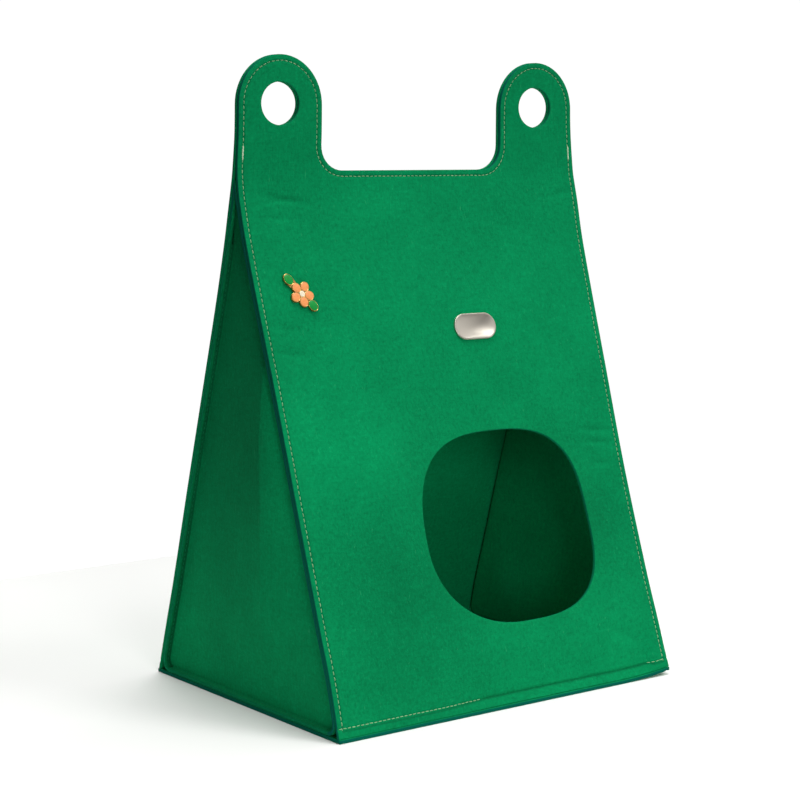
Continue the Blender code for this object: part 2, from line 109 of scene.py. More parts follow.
# slow swells of the front panel: middle across and up, reach, depth inwards
FRONT_SWELLS = (
    (-0.100, 0.230, 0.055, -0.0036),
    (0.166, 0.180, 0.036, 0.0022),
)
SWELL_HOLD = 0.040
# the front panel's lower margin, turned out between two fades along the bottom
LIP_HEIGHT = 0.0125
LIP_INSET = 0.0038
LIP_FADE = 0.050
LIP_RISE = 0.0018
LIP_START = (-0.095, -0.015)
LIP_END = (0.172, 0.188)
EAR_TOP = 0.603
LEFT_EAR_INNER = -0.1088
RIGHT_EAR_INNER = 0.1057
RIGHT_EAR_OUTER = 0.1982
NOTCH_HEIGHT = 0.4972
NOTCH_FILLET = 0.0240
EAR_HOLE_HEIGHT = 0.5585
LEFT_HOLE_X = -0.1550
RIGHT_HOLE_X = 0.1503
EAR_HOLE_WIDTH = 0.0415
EAR_HOLE_TALL = 0.0395
ENTRANCE_CENTRE = (0.0360, 0.1557)
ENTRANCE_HALF_WIDTH = 0.1014
ENTRANCE_UP = 0.0936
ENTRANCE_DOWN = 0.0818
# squareness and half height of each quarter of the entrance, the upper right first
ENTRANCE_QUADRANTS = (
    (2.9, ENTRANCE_UP),
    (2.7, ENTRANCE_UP),
    (2.25, ENTRANCE_DOWN),
    (3.0, ENTRANCE_DOWN),
)
FOLD_RADIUS = 0.0035
GUSSET_CORNER = 0.0115
LEFT, RIGHT = -1, 1
FRONT_SIDE, REAR_SIDE = -1, 1
SLOPE_STEP = 0.002          # a surface's slope is read over this distance


# %% The rules of the shape
def eased(start, end, value):
    """0 before start, 1 after end, and a soft S between them."""
    t = min(max((value - start) / (end - start), 0.0), 1.0)
    return t * t * (3.0 - 2.0 * t)


def soft_max(a, b, softness):
    """The larger of a and b, with the corner between them rounded."""
    return 0.5 * (a + b + math.hypot(a - b, softness))


def panel_shape(height, column):
    """A column of PANEL_SHAPE at a height, on a smooth curve through its rows."""
    rows = PANEL_SHAPE
    if height >= rows[-1][0]:
        return rows[-1][column]
    i = max(k for k in range(len(rows) - 1) if rows[k][0] <= max(height, 0.0))
    lower, upper = rows[i], rows[i + 1]
    before, after = rows[max(i - 1, 0)], rows[min(i + 2, len(rows) - 1)]
    span = upper[0] - lower[0]
    t = (max(height, 0.0) - lower[0]) / span
    rise_in = (upper[column] - before[column]) / (upper[0] - before[0]) * span
    rise_out = (after[column] - lower[column]) / (after[0] - lower[0]) * span
    return (
        (2 * t**3 - 3 * t**2 + 1) * lower[column]
        + (t**3 - 2 * t**2 + t) * rise_in
        + (3 * t**2 - 2 * t**3) * upper[column]
        + (t**3 - t**2) * rise_out
    )


def edge_x(side, height):
    """Distance of a panel's side edge from the middle, at a height."""
    share = min(max(height / APEX_HEIGHT, 0.0), 1.0)
    reach = BASE_WIDTH / 2
    if side == RIGHT:
        reach -= RIGHT_WAIST * math.sin(math.pi * share)
        reach += RIGHT_CORNER_FLARE * (1.0 - eased(0.0, CORNER_FLARE_HEIGHT, height))
    return reach


def lip(x):
    """How far the front panel's lower margin is turned out, from 0 to 1."""
    return eased(*LIP_START, x) * (1.0 - eased(*LIP_END, x))


def front_swell(x, height):
    """How far the front panel's slow swells take it inwards."""
    side = LEFT if x < 0.0 else RIGHT
    held = eased(0.0, SWELL_HOLD, edge_x(side, height) - abs(x))
    depth = 0.0
    for middle_x, middle_z, reach, deep in FRONT_SWELLS:
        away = math.hypot(x - middle_x, height - middle_z) / reach
        depth += held * deep * math.exp(-away * away)
    return depth


def face_y(panel_side, x, height):
    """Where the outer face of the front or rear panel stands, front to back."""
    slope = BASE_DEPTH / 2 * (1.0 - height / APEX_HEIGHT)
    inwards = panel_shape(height, BOW)
    if panel_side == FRONT_SIDE:
        inwards += front_swell(x, height)
        above = eased(LIP_HEIGHT, LIP_HEIGHT + LIP_FADE, height)
        below = eased(0.0, LIP_HEIGHT, height)
        inwards += LIP_INSET * lip(x) * below * (1.0 - above)
    across = x / BASE_WIDTH + 0.5
    left, right = panel_shape(height, LEFT_SHIFT), panel_shape(height, RIGHT_SHIFT)
    middle = left + (right - left) * across
    return middle + panel_side * soft_max(slope - inwards, FELT + GAP / 2, APEX_SOFTNESS)


def inward(panel_side, x, height):
    """The direction from a panel's outer face straight through the felt."""
    step = SLOPE_STEP
    rise = face_y(panel_side, x, height + step) - face_y(panel_side, x, height - step)
    turn = face_y(panel_side, x + step, height) - face_y(panel_side, x - step, height)
    out = Vector((turn, -2 * step, rise)) * -panel_side
    return -out.normalized()


def corner_curl(place):
    """How far a point near the front right corner of the base is lifted."""
    away = math.hypot(place.x - BASE_WIDTH / 2, place.y + BASE_DEPTH / 2)
    share = max(1.0 - away / CURL_REACH, 0.0)
    return CORNER_CURL * share**2 * (1.0 - eased(0.0, CURL_FADE, place.z))


# %% [markdown]
# ## Cutting the felt
#
# A felt panel starts as a flat cut with clean edges, so its outline is drawn first:
# straight runs, half-round ears, round fillets and a rounded entrance.  Points sit
# about 4 mm apart, close enough that the curves look round in a near view.

# %% Outlines
OUTLINE_STEP = 0.004


def arc(centre, radius, start, end):
    """Points along a circular arc, angles in degrees, both ends included."""
    steps = max(int(abs(math.radians(end - start)) * radius / OUTLINE_STEP), 6)
    points = []
    for i in range(steps + 1):
        a = math.radians(start + (end - start) * i / steps)
        points.append((centre[0] + radius * math.cos(a), centre[1] + radius * math.sin(a)))
    return points


def evenly(start, end):
    """Values about OUTLINE_STEP apart from start to end, without the end."""
    steps = max(round(abs(end - start) / OUTLINE_STEP), 1)
    return [start + (end - start) * i / steps for i in range(steps)]


def panel_bottom(panel_side, x):
    """Height of the outer face's lower edge: its inner edge rests on the base."""
    turned_out = lip(x) if panel_side == FRONT_SIDE else 0.0
    tilt = math.atan(BASE_DEPTH / 2 / APEX_HEIGHT)
    return FELT + GAP + FELT * math.sin(tilt) + LIP_RISE * turned_out


def panel_outline(panel_side):
    """The outline of the front or rear panel, counter-clockwise, seen square on."""
    low = panel_bottom(panel_side, BASE_WIDTH / 2)
    left_low, right_low = -edge_x(LEFT, low), edge_x(RIGHT, low)
    bottom = [(x, panel_bottom(panel_side, x)) for x in evenly(left_low, right_low)]
    right_radius = (RIGHT_EAR_OUTER - RIGHT_EAR_INNER) / 2
    right_centre = (RIGHT_EAR_OUTER - right_radius, EAR_TOP - right_radius)
    left_outer = -edge_x(LEFT, APEX_HEIGHT)
    left_radius = (LEFT_EAR_INNER - left_outer) / 2
    left_centre = (left_outer + left_radius, EAR_TOP - left_radius)

    right_edge = [(edge_x(RIGHT, z), z) for z in evenly(low, APEX_HEIGHT)]
    drawn_in = RIGHT_EAR_OUTER - edge_x(RIGHT, APEX_HEIGHT)
    for z in evenly(APEX_HEIGHT, right_centre[1]):
        share = eased(APEX_HEIGHT - 0.01, right_centre[1], z)
        right_edge.append((edge_x(RIGHT, z) + drawn_in * share, z))
    fillet_height = NOTCH_HEIGHT + NOTCH_FILLET
    right_fillet = (RIGHT_EAR_INNER - NOTCH_FILLET, fillet_height)
    left_fillet = (LEFT_EAR_INNER + NOTCH_FILLET, fillet_height)
    right_inner = [(RIGHT_EAR_INNER, z) for z in evenly(right_centre[1], fillet_height)]
    left_inner = [(LEFT_EAR_INNER, z) for z in evenly(fillet_height, left_centre[1])]
    notch = [(x, NOTCH_HEIGHT) for x in evenly(right_fillet[0], left_fillet[0])]
    left_edge = [(left_outer, z) for z in evenly(left_centre[1], low)]
    return (
        bottom
        + right_edge
        + arc(right_centre, right_radius, 0.0, 180.0)
        + right_inner[1:]
        + arc(right_fillet, NOTCH_FILLET, 0.0, -90.0)
        + notch[1:]
        + arc(left_fillet, NOTCH_FILLET, -90.0, -180.0)
        + left_inner[1:]
        + arc(left_centre, left_radius, 0.0, 180.0)
        + left_edge[1:]
    )


def entrance_outline():
    """A rounded opening whose four corners have their own squareness."""
    steps = 40
    points = []
    for number, (squareness, half_height) in enumerate(ENTRANCE_QUADRANTS):
        for i in range(steps):
            a = math.radians(90.0 * (number + i / steps))
            c, s = math.cos(a), math.sin(a)
            power = 2.0 / squareness
            x = math.copysign(abs(c) ** power, c) * ENTRANCE_HALF_WIDTH
            z = math.copysign(abs(s) ** power, s) * half_height
            points.append((ENTRANCE_CENTRE[0] + x, ENTRANCE_CENTRE[1] + z))
    return points


def ear_hole(x):
    """The hanging hole of an ear."""
    steps = 48
    points = []
    for i in range(steps):
        a = math.radians(360.0 * i / steps)
        across, up = EAR_HOLE_WIDTH / 2 * math.cos(a), EAR_HOLE_TALL / 2 * math.sin(a)
        points.append((x + across, EAR_HOLE_HEIGHT + up))
    return points


print("front outline:", len(panel_outline(FRONT_SIDE)), "points")


# %% [markdown]
# ## From a flat cut to a soft-edged sheet
#
# A plane with a Solidify modifier would have razor edges.  Die-cut felt has a small
# round on both lips, and its seams press a shallow groove beside the edge.  So the
# cut is built as rings: from the stitching groove out to the lip, over the round,
# down the wall and back under.  The middle is filled and then sliced by a fine
# grid, so that the sheet can bend and ripple smoothly.

# %% Rings, fill and grid
EDGE_ROUND = 0.0006
SEAM_INSET = 0.0055         # the row of stitches, from the cut edge
RING_INSETS = (0.0030, 0.0045, 0.0051, 0.0055, 0.0059, 0.0065, 0.0078)
NO_SEAM = 1.0               # stands for "far from any seam"
HOLE_TONE = 0.5             # the cut edge of a hole is half as dark as the outer one
WELD = 2e-5                 # points nearer than this are one


def resampled(points, step):
    """The same closed line with points about step apart."""
    ring = [Vector(p) for p in points]
    ring.append(ring[0])
    lengths = [(b - a).length for a, b in zip(ring, ring[1:])]
    count = max(round(sum(lengths) / step), 12)
    gap = sum(lengths) / count
    made, walked, k = [], 0.0, 0
    for i in range(count):
        while walked + lengths[k] < i * gap:
            walked += lengths[k]
            k += 1
        share = (i * gap - walked) / lengths[k]
        made.append(tuple(ring[k].lerp(ring[k + 1], share)))
    return made


def moved_in(points, distance, keep_inside=None):
    """Every point of a closed line moved to its left, square to the line."""
    moved = []
    for i, point in enumerate(points):
        here = Vector(point)
        before = (here - Vector(points[i - 1])).normalized()
        after = (Vector(points[(i + 1) % len(points)]) - here).normalized()
        normal = Vector((-before.y - after.y, before.x + after.x)).normalized()
        stretch = 1.0 / max(normal.dot(Vector((-after.y, after.x))), 0.5)
        place = here + normal * distance * stretch
        moved.append(keep_inside(place, distance) if keep_inside else tuple(place))
    return moved


def sheet_mesh(outline, holes, grid, keep_inside=None, seamed=True):
    """A flat felt cut as a closed bmesh: x and z in its plane, depth along y."""
    bm = bmesh.new()
    seam = bm.verts.layers.float.new("seam")
    cut = bm.verts.layers.float.new("cut_edge")
    profile = []
    for degrees in (0.0, 30.0, 60.0, 90.0):
        a = math.radians(degrees)
        inset = EDGE_ROUND * (1.0 - math.sin(a))
        depth = EDGE_ROUND * (1.0 - math.cos(a))
        profile.append((inset, depth, degrees / 90.0))
    for inset, depth, share in reversed(profile):
        profile.append((inset, FELT - depth, share))

    for number, loop in enumerate([outline] + [list(reversed(h)) for h in holes]):
        rows = list(profile)
        if number == 0 and seamed:
            rows = [(inset, 0.0, 0.0) for inset in reversed(RING_INSETS)] + rows
        rings = []
        for inset, depth, share in rows:
            fence = keep_inside if number == 0 else None
            ring = []
            for x, z in moved_in(loop, inset, fence):
                v = bm.verts.new((x, depth, z))
                v[seam] = inset if number == 0 else NO_SEAM
                v[cut] = share if number == 0 else HOLE_TONE * share
                ring.append(v)
            rings.append(ring)
        count = len(loop)
        for near, far in zip(rings, rings[1:]):
            for i in range(count):
                k = (i + 1) % count
                bm.faces.new((near[i], far[i], far[k], near[k]))
    # points that the fence has pushed together become one before the middle is filled
    bmesh.ops.remove_doubles(bm, verts=bm.verts, dist=WELD)
    for depth in (0.0, FELT):
        open_edges = [
            e for e in bm.edges
            if e.is_boundary and all(abs(v.co.y - depth) < 1e-6 for v in e.verts)
        ]
        bmesh.ops.triangle_fill(bm, edges=open_edges, use_beauty=True)
    for axis, places in grid:
        for place in places:
            everything = bm.verts[:] + bm.edges[:] + bm.faces[:]
            direction = Vector((1, 0, 0)) if axis == "x" else Vector((0, 0, 1))
            co = direction * place
            bmesh.ops.bisect_plane(bm, geom=everything, dist=WELD, plane_co=co,
                                   plane_no=direction)
    return bm


def finished(name, bm, material=None):
    """Turns a bmesh into a named smooth-shaded piece at the origin."""
    bmesh.ops.recalc_face_normals(bm, faces=bm.faces)
    mesh = bpy.data.meshes.new(name)
    bm.to_mesh(mesh)
    bm.free()
    mesh.shade_smooth()
    piece = bpy.data.objects.new(name, mesh)
    bpy.context.collection.objects.link(piece)
    if material:
        mesh.materials.append(material)
    return piece


# %% [markdown]
# ## The lie of the felt
#
# Stiff felt is never quite flat.  A slow noise ripples the panels by about half a
# millimetre, and fades out where a panel is held by a seam or carries metal.
# Short, soft creases lie where the photo shows them: near the upper side seams
# and beside the entrance.  Light and shade are also painted onto the felt: each
# point carries how much lighter or darker it is painted.

# %% Ripples, creases and grooves
RIPPLE = 0.0007
GROOVE_DEPTH = 0.0007
GROOVE_WIDTH = 0.0007
BOTTOM_GROOVE_WIDTH = 0.0011
LIP_GROOVE = 0.0004         # so much deeper behind the turned-out lip
SIDE_ROW_LOW = 0.050        # below it only the side edges have the long row
SIDE_ROW_REACH = 0.010
SEWN_GAP = 0.0001           # left between a panel's lower lip and the bottom
SEWN_FADE = 0.006
PLATE_PLACE = (0.0395, 0.3470)
PIN_PLACE = (-0.1520, 0.3850)
# start and end across and up, depth, half width
FRONT_CREASES = (
    ((-0.190, 0.4770), (-0.118, 0.4650), 0.00085, 0.0028),
    ((-0.186, 0.4680), (-0.132, 0.4705), 0.00065, 0.0022),
    ((-0.188, 0.4550), (-0.136, 0.4520), 0.00055, 0.0026),
    ((-0.196, 0.3590), (-0.148, 0.3500), 0.00075, 0.0030),
    ((-0.195, 0.3480), (-0.165, 0.3490), 0.00060, 0.0022),
    ((-0.195, 0.3350), (-0.152, 0.3290), 0.00065, 0.0028),
    ((0.142, 0.2420), (0.190, 0.2360), 0.00080, 0.0028),
    ((0.146, 0.2290), (0.192, 0.2250), 0.00065, 0.0026),
    ((0.150, 0.2080), (0.190, 0.2040), 0.00055, 0.0028),
    ((0.160, 0.4680), (0.196, 0.4780), 0.00070, 0.0030),
    ((0.130, 0.0560), (0.172, 0.0330), 0.00055, 0.0060),
)


# patches of the front painted lighter or darker, as painted light and shade of its slow bends and a
# painted shadow left of and below the entrance: middle, reach, tone
FRONT_PAINTED_LIGHT = (
    (-0.142, 0.258, 0.060, 0.20),
    (-0.093, 0.118, 0.065, -0.24),
    (-0.135, 0.058, 0.055, -0.10),
    (0.147, 0.157, 0.040, -0.21),
    (0.140, 0.054, 0.035, 0.09),
    (0.152, 0.341, 0.060, 0.12),
    (0.000, 0.480, 0.110, 0.07),
)
CREASE_PAINTED_SHADE = 0.28           # painted shade above a crease and painted light below it
CREASE_USUAL = 0.0008       # the depth for which CREASE_PAINTED_SHADE holds


def crease_fade(share):
    """A crease is deepest halfway along and runs out towards both ends."""
    return math.sin(math.pi * min(max(share, 0.04), 0.96))


def front_painted_light(x, z):
    """How much lighter or darker the front is painted at a place, as painted light and shade."""
    tone = 0.0
    for middle_x, middle_z, reach, strength in FRONT_PAINTED_LIGHT:
        away = math.hypot(x - middle_x, z - middle_z) / reach
        tone += strength * math.exp(-away * away)
    # each crease gets painted shade above its line and painted light below it
    for start, end, deep, width in FRONT_CREASES:
        away, share = away_from_line(x, z, start, end)
        if away < 3.0 * width:
            above = 1.0 if z > start[1] + (end[1] - start[1]) * share else -1.0
            fade = crease_fade(share)
            bent = above * away / width
            tone -= CREASE_PAINTED_SHADE * (deep / CREASE_USUAL) * bent * math.exp(-bent * bent) * fade
    return tone


def away_from_line(x, z, start, end):
    """Distance to a line between two places, and how far along it, 0 to 1."""
    run = Vector(end) - Vector(start)
    share = min(max((Vector((x, z)) - Vector(start)).dot(run) / run.length_squared, 0.0), 1.0)
    return (Vector((x, z)) - Vector(start) - run * share).length, share


def ripple(panel_side, x, z):
    """How far the felt stands inwards of its rule, from its gentle ripples."""
    side = LEFT if x < 0.0 else RIGHT
    held = eased(0.010, 0.050, edge_x(side, z) - abs(x))
    held *= eased(0.022, 0.070, z) * (1.0 - eased(0.440, 0.485, z))
    if panel_side == FRONT_SIDE:
        for place, reach in ((PLATE_PLACE, 0.045), (PIN_PLACE, 0.035)):
            away = math.hypot(x - place[0], z - place[1])
            held *= eased(0.6 * reach, 1.4 * reach, away)
    seed = 3.7 if panel_side == FRONT_SIDE else 9.1
    slow = noise.noise(Vector((x * 9.0, z * 9.0, seed)))
    quick = noise.noise(Vector((x * 26.0, z * 22.0, seed + 2.0)))
    return held * RIPPLE * (slow + 0.35 * quick)


def creased(x, z):
    """How deep the front panel's creases are at a place."""
    depth = 0.0
    for start, end, deep, width in FRONT_CREASES:
        away, share = away_from_line(x, z, start, end)
        if away < 4.0 * width:
            depth += deep * math.exp(-((away / width) ** 2)) * crease_fade(share)
    return depth


def seam_groove(side_distance, z, x):
    """The groove that the stitches press beside the side edges, ears and notch."""
    side = LEFT if x < 0.0 else RIGHT
    if z < SIDE_ROW_LOW and edge_x(side, z) - abs(x) > SIDE_ROW_REACH:
        return 0.0
    return GROOVE_DEPTH * math.exp(-(((side_distance - SEAM_INSET) / GROOVE_WIDTH) ** 2))


def bottom_groove(panel_side, x, z):
    """The groove of the row that sews a panel to the felt bottom."""
    deep = GROOVE_DEPTH
    if panel_side == FRONT_SIDE:
        deep += LIP_GROOVE * lip(x)
    return deep * math.exp(-(((z - LIP_HEIGHT) / BOTTOM_GROOVE_WIDTH) ** 2))


def sewn_down(panel_side, x, z, depth):
    """How far the seam pulls a panel's lower outer lip down towards the bottom."""
    low = panel_bottom(panel_side, x)
    gap = (low - FELT - SEWN_GAP) * (1.0 - depth / FELT)
    return gap * (1.0 - eased(low, low + SEWN_FADE, z))


def on_panel(panel_side, x, z, depth, side_distance=NO_SEAM):
    """Where a point of the flat cut comes to stand in the sewn tent."""
    z -= sewn_down(panel_side, x, z, depth)
    through = inward(panel_side, x, z)
    place = Vector((x, face_y(panel_side, x, z), z)) + through * depth
    skin = 1.0 - depth / FELT
    sunk = ripple(panel_side, x, z)
    sunk += skin * seam_groove(side_distance, z, x)
    sunk += skin * bottom_groove(panel_side, x, z)
    if panel_side == FRONT_SIDE:
        sunk += creased(x, z)
    place += through * sunk
    place.z += corner_curl(place)
    return place


# %% [markdown]
# ## The front and rear panels
#
# The flat cuts are now bent into place.  Both panels come from the same outline;
# the front one has the entrance as well.  The grid is finest beside the row of
# stitches near the floor, where the felt turns most sharply.

# %% Panels
GRID_X = [-0.196 + 0.004 * i for i in range(99)]
GRID_Z = [0.020 + 0.004 * i for i in range(145)]
FINE_Z = [0.0085, 0.0100, 0.0109, 0.0117, 0.0125, 0.0133, 0.0141, 0.0150, 0.0165]
FENCE_TOP = 0.45            # below it a ring stays inside the side edges and the bottom
SOFT_TONE = 0.15            # the rear panel's cut edge is hardly darker than its face


def felt_panel(name, panel_side, holes, edge_tone):
    """A leaning panel, cut, bent and finished; edge_tone is how dark its edge is."""
    def fence(place, distance):
        """Keeps a ring that is moved in from crossing itself at the corners."""
        side = LEFT if place.x < 0.0 else RIGHT
        limit = edge_x(side, place.y) - distance
        if place.y < FENCE_TOP:
            place.x = min(max(place.x, -limit), limit)
            place.y = max(place.y, panel_bottom(panel_side, place.x) + distance)
        return tuple(place)

    grid = (("x", GRID_X), ("z", FINE_Z + GRID_Z))
    bm = sheet_mesh(panel_outline(panel_side), holes, grid, fence)
    seam = bm.verts.layers.float["seam"]
    cut = bm.verts.layers.float["cut_edge"]
    nap = bm.verts.layers.float.new("nap")
    for v in bm.verts:
        # the front panel carries painted light and shade; the rear panel none
        if panel_side == FRONT_SIDE:
            v[nap] = front_painted_light(v.co.x, v.co.z)
        v.co = on_panel(panel_side, v.co.x, v.co.z, v.co.y, v[seam])
        v[cut] *= edge_tone
    return finished(name, bm)


ear_holes = [ear_hole(LEFT_HOLE_X), ear_hole(RIGHT_HOLE_X)]
entrance = resampled(entrance_outline(), OUTLINE_STEP)
front_felt = felt_panel("front_felt", FRONT_SIDE, ear_holes + [entrance], 1.0)
rear_felt = felt_panel("rear_felt", REAR_SIDE, ear_holes, SOFT_TONE)
for piece in (front_felt, rear_felt):
    print(piece.name, len(piece.data.polygons), "faces")

# %% [markdown]
# ## The felt bottom
#
# A plain rectangle, but its front right corner curls up a little off the floor,
# as the corner of a stiff felt sheet does.

# %% Bottom
BASE_SEAM = 0.004           # the seam, from the bottom's edge
BASE_GROOVE_WIDTH = 0.0009
half_x, half_y = BASE_WIDTH / 2, BASE_DEPTH / 2


def on_base(x, y, depth):
    """Where a point of the bottom's flat cut comes to lie; the grooves are below."""
    place = Vector((x, y, FELT - depth))
    from_row = min(abs(half_y - abs(y) - BASE_SEAM), abs(half_x - abs(x) - BASE_SEAM))
    sunk = GROOVE_DEPTH * math.exp(-((from_row / BASE_GROOVE_WIDTH) ** 2))
    place.z += sunk * (depth / FELT)
    place.z += corner_curl(place)
    return place


base_outline = [(x, -half_y) for x in evenly(-half_x, half_x)]
base_outline += [(half_x, y) for y in evenly(-half_y, half_y)]
base_outline += [(x, half_y) for x in evenly(half_x, -half_x)]
base_outline += [(-half_x, y) for y in evenly(half_y, -half_y)]


def base_fence(place, distance):
    """Keeps a ring that is moved in inside the bottom's corners."""
    place.x = min(max(place.x, distance - half_x), half_x - distance)
    place.y = min(max(place.y, distance - half_y), half_y - distance)
    return tuple(place)


# finer towards the front right corner, which curls
base_grid = (
    ("x", [-0.190 + 0.010 * i for i in range(33)] + [0.138 + 0.005 * i for i in range(12)]),
    ("z", [-0.152 + 0.005 * i for i in range(13)] + [-0.080 + 0.010 * i for i in range(24)]),
)
bm = sheet_mesh(base_outline, [], base_grid, base_fence)
for v in bm.verts:
    v.co = on_base(v.co.x, v.co.z, v.co.y)
base_felt = finished("base_felt", bm)
print(base_felt.name, len(base_felt.data.polygons), "faces")

# %% [markdown]
# ## The side gussets
#
# A gusset is a triangle of the same felt.  Its web stands a seam margin in from the
# panels' edges, and its own margins are folded outwards against the panels and the
# bottom, so all raw edges show.  The web is laid out as rows and columns, the
# margins are rings round it, and Solidify and Bevel turn the skin into felt.  An
# upright crease, left from being packed flat, parts a narrow strip at the front
# from the fuller web behind it, so two columns run close along both its sides.

# %% Gussets
STRIP_COLUMNS = 8
WEB_COLUMNS = 20
WEB_ROW = 0.006             # from one row of the web to the next
WEB_TOP_WIDTH = 0.018       # rows end where the web is narrower than this
STRIP_SHARE = 0.12          # the least share of a row that its front columns take
GUSSET_RIDGE = 0.0080       # how far the crease stands out
RIDGE_PLACE = -0.033        # where it runs, front to back
RIDGE_ROWS = (0.020, 0.110) # it grows from nothing between these heights
RIDGE_SLANT = 0.25          # it stands out no more than this share of its strip's width
RIDGE_ROUND = 0.0007        # how near the columns beside the crease are to it
STRIP_CURVE = 1.25          # 1 is a flat strip; more is steeper at the seam
REAR_FULLNESS = 0.1
WEB_RIPPLE = 0.0012
WEB_HELD = (0.002, 0.030)   # the seams hold the web flat nearer than this
FLOOR_HELD = (0.012, 0.040)
# painted light and shade of the gussets: a lit strip before the crease, the floor's bounce low on the
# web, and shade in the rear fold
STRIP_PAINTED_LIGHT = (0.20, 0.30)    # painted lighter by this at the crease, and more at the seam
STRIP_PAINTED_LIGHT_ROWS = (0.09, 0.20)
STRIP_PAINTED_LIGHT_WIDTHS = (0.003, 0.012)
WEB_PAINTED_LIGHT = (0.13, -0.15)     # painted lighter near the floor, where its bounce would light the web, and darker above
WEB_PAINTED_LIGHT_ROWS = (0.050, 0.260)
FOLD_PAINTED_SHADE = -0.6             # painted shade in the crevice of the rear fold
MARGIN_TONE = 0.3           # how dark the raw edge is, away from the front seam
GUSSET_STITCH = 0.0040      # the seam, from the gusset's raw edge
GUSSET_STITCH_TOP = 0.430   # above it the two margins lie on each other
WEB_INSET = 1.5 * GAP + FELT / 2 + FOLD_RADIUS
WEB_FLOOR = FELT + WEB_INSET
# dents of a web: middle front to back and up, reach, depth
WEB_DENTS = ((0.090, 0.052, 0.030, 0.0022), (0.010, 0.190, 0.060, 0.0012))
FOLD_ANGLES = (15.0, 30.0, 45.0, 60.0, 75.0, 90.0)
# rings of the folded margin: how far out from the web, and how much of the fold's painted shade they
# carry
MARGIN_RINGS = ((0.0045, 1.0), (0.0058, 0.7), (0.0072, 0.2), (0.0077, 0.0))


def back_y(panel_side, x, height, depth):
    """A surface parallel to a panel's outer face, depth behind it."""
    step = SLOPE_STEP
    rise = face_y(panel_side, x, height + step) - face_y(panel_side, x, height - step)
    return face_y(panel_side, x, height) - panel_side * depth * math.hypot(1.0, rise / (2 * step))


def gusset_ends(side, height):
    """Front and rear limits of a gusset's web."""
    x = side * edge_x(side, height)
    front = back_y(FRONT_SIDE, x, height, FELT + WEB_INSET)
    return front, back_y(REAR_SIDE, x, height, FELT + WEB_INSET)


def web_reach(side, y, height, front, rear):
    """How far from the middle the web stands, with its crease, dents and ripples."""
    place = max(RIDGE_PLACE, front)
    stand = min(GUSSET_RIDGE, RIDGE_SLANT * (place - front)) * eased(*RIDGE_ROWS, height)
    if y < place:
        out = stand * (1.0 - ((place - y) / (place - front)) ** STRIP_CURVE)
    else:
        share = (rear - y) / (rear - place)
        out = stand * share * (1.0 + REAR_FULLNESS * (1.0 - share))
    held = eased(*WEB_HELD, min(y - front, rear - y)) * eased(*FLOOR_HELD, height)
    for middle_y, middle_z, reach, deep in WEB_DENTS:
        away = math.hypot(y - middle_y, height - middle_z) / reach
        out -= held * deep * math.exp(-away * away)
    out += held * WEB_RIPPLE * noise.noise(Vector((side * 5.0, y * 11.0, height * 8.0)))
    return edge_x(side, height) - SEAM_MARGIN + out


def web_painted_light(y, height, front):
    """Painted light and shade on the web, and on the strip before its crease."""
    tone = WEB_PAINTED_LIGHT[0] + (WEB_PAINTED_LIGHT[1] - WEB_PAINTED_LIGHT[0]) * eased(*WEB_PAINTED_LIGHT_ROWS, height)
    if y > RIDGE_PLACE - RIDGE_ROUND / 2:
        return tone
    seen = eased(*STRIP_PAINTED_LIGHT_ROWS, height) * eased(*STRIP_PAINTED_LIGHT_WIDTHS, RIDGE_PLACE - front)
    strip = STRIP_PAINTED_LIGHT[0] + STRIP_PAINTED_LIGHT[1] * (RIDGE_PLACE - y) / (RIDGE_PLACE - front)
    return tone + seen * strip


def web_columns(front, rear):
    """Where the columns of a row of the web stand, front to back."""
    place = max(RIDGE_PLACE, front + STRIP_SHARE * (rear - front))
    near, far = place - RIDGE_ROUND, place + RIDGE_ROUND
    strip = [front + (near - front) * k / (STRIP_COLUMNS - 1) for k in range(STRIP_COLUMNS)]
    return strip + [far + (rear - far) * k / (WEB_COLUMNS - 1) for k in range(WEB_COLUMNS)]


def web_rows(side):
    """Height, front and rear of each row of the web, from its rounded corners up."""
    corner = GUSSET_CORNER - FOLD_RADIUS
    rows = []
    for i in range(9):
        a = math.radians(90.0 * i / 8)
        height = WEB_FLOOR + corner * (1.0 - math.cos(a))
        front, rear = gusset_ends(side, height)
        cut = corner * (1.0 - math.sin(a))
        rows.append((height, front + cut, rear - cut))
    height = rows[-1][0] + 0.005
    while True:
        front, rear = gusset_ends(side, height)
        if rear - front < WEB_TOP_WIDTH:
            return rows
        rows.append((height, front, rear))
        height += WEB_ROW


def web_tip(side, low):
    """The point where the web's two sides meet."""
    high = APEX_HEIGHT
    for _ in range(30):
        middle = (low + high) / 2
        front, rear = gusset_ends(side, middle)
        low, high = (middle, high) if rear > front else (low, middle)
    y = sum(gusset_ends(side, low)) / 2
    return Vector((side * (edge_x(side, low) - SEAM_MARGIN), y, low))


def outward_along(loop):
    """For each point of a loop, the direction away from the web, in its plane."""
    directions = []
    for i, here in enumerate(loop):
        before = here - loop[i - 1]
        after = loop[(i + 1) % len(loop)] - here
        square = [Vector((0.0, run.z, -run.y)).normalized() for run in (before, after)]
        middle = (square[0] + square[1]).normalized()
        directions.append(middle / max(middle.dot(square[0]), 0.2))
    return directions


gusset_loops = {}


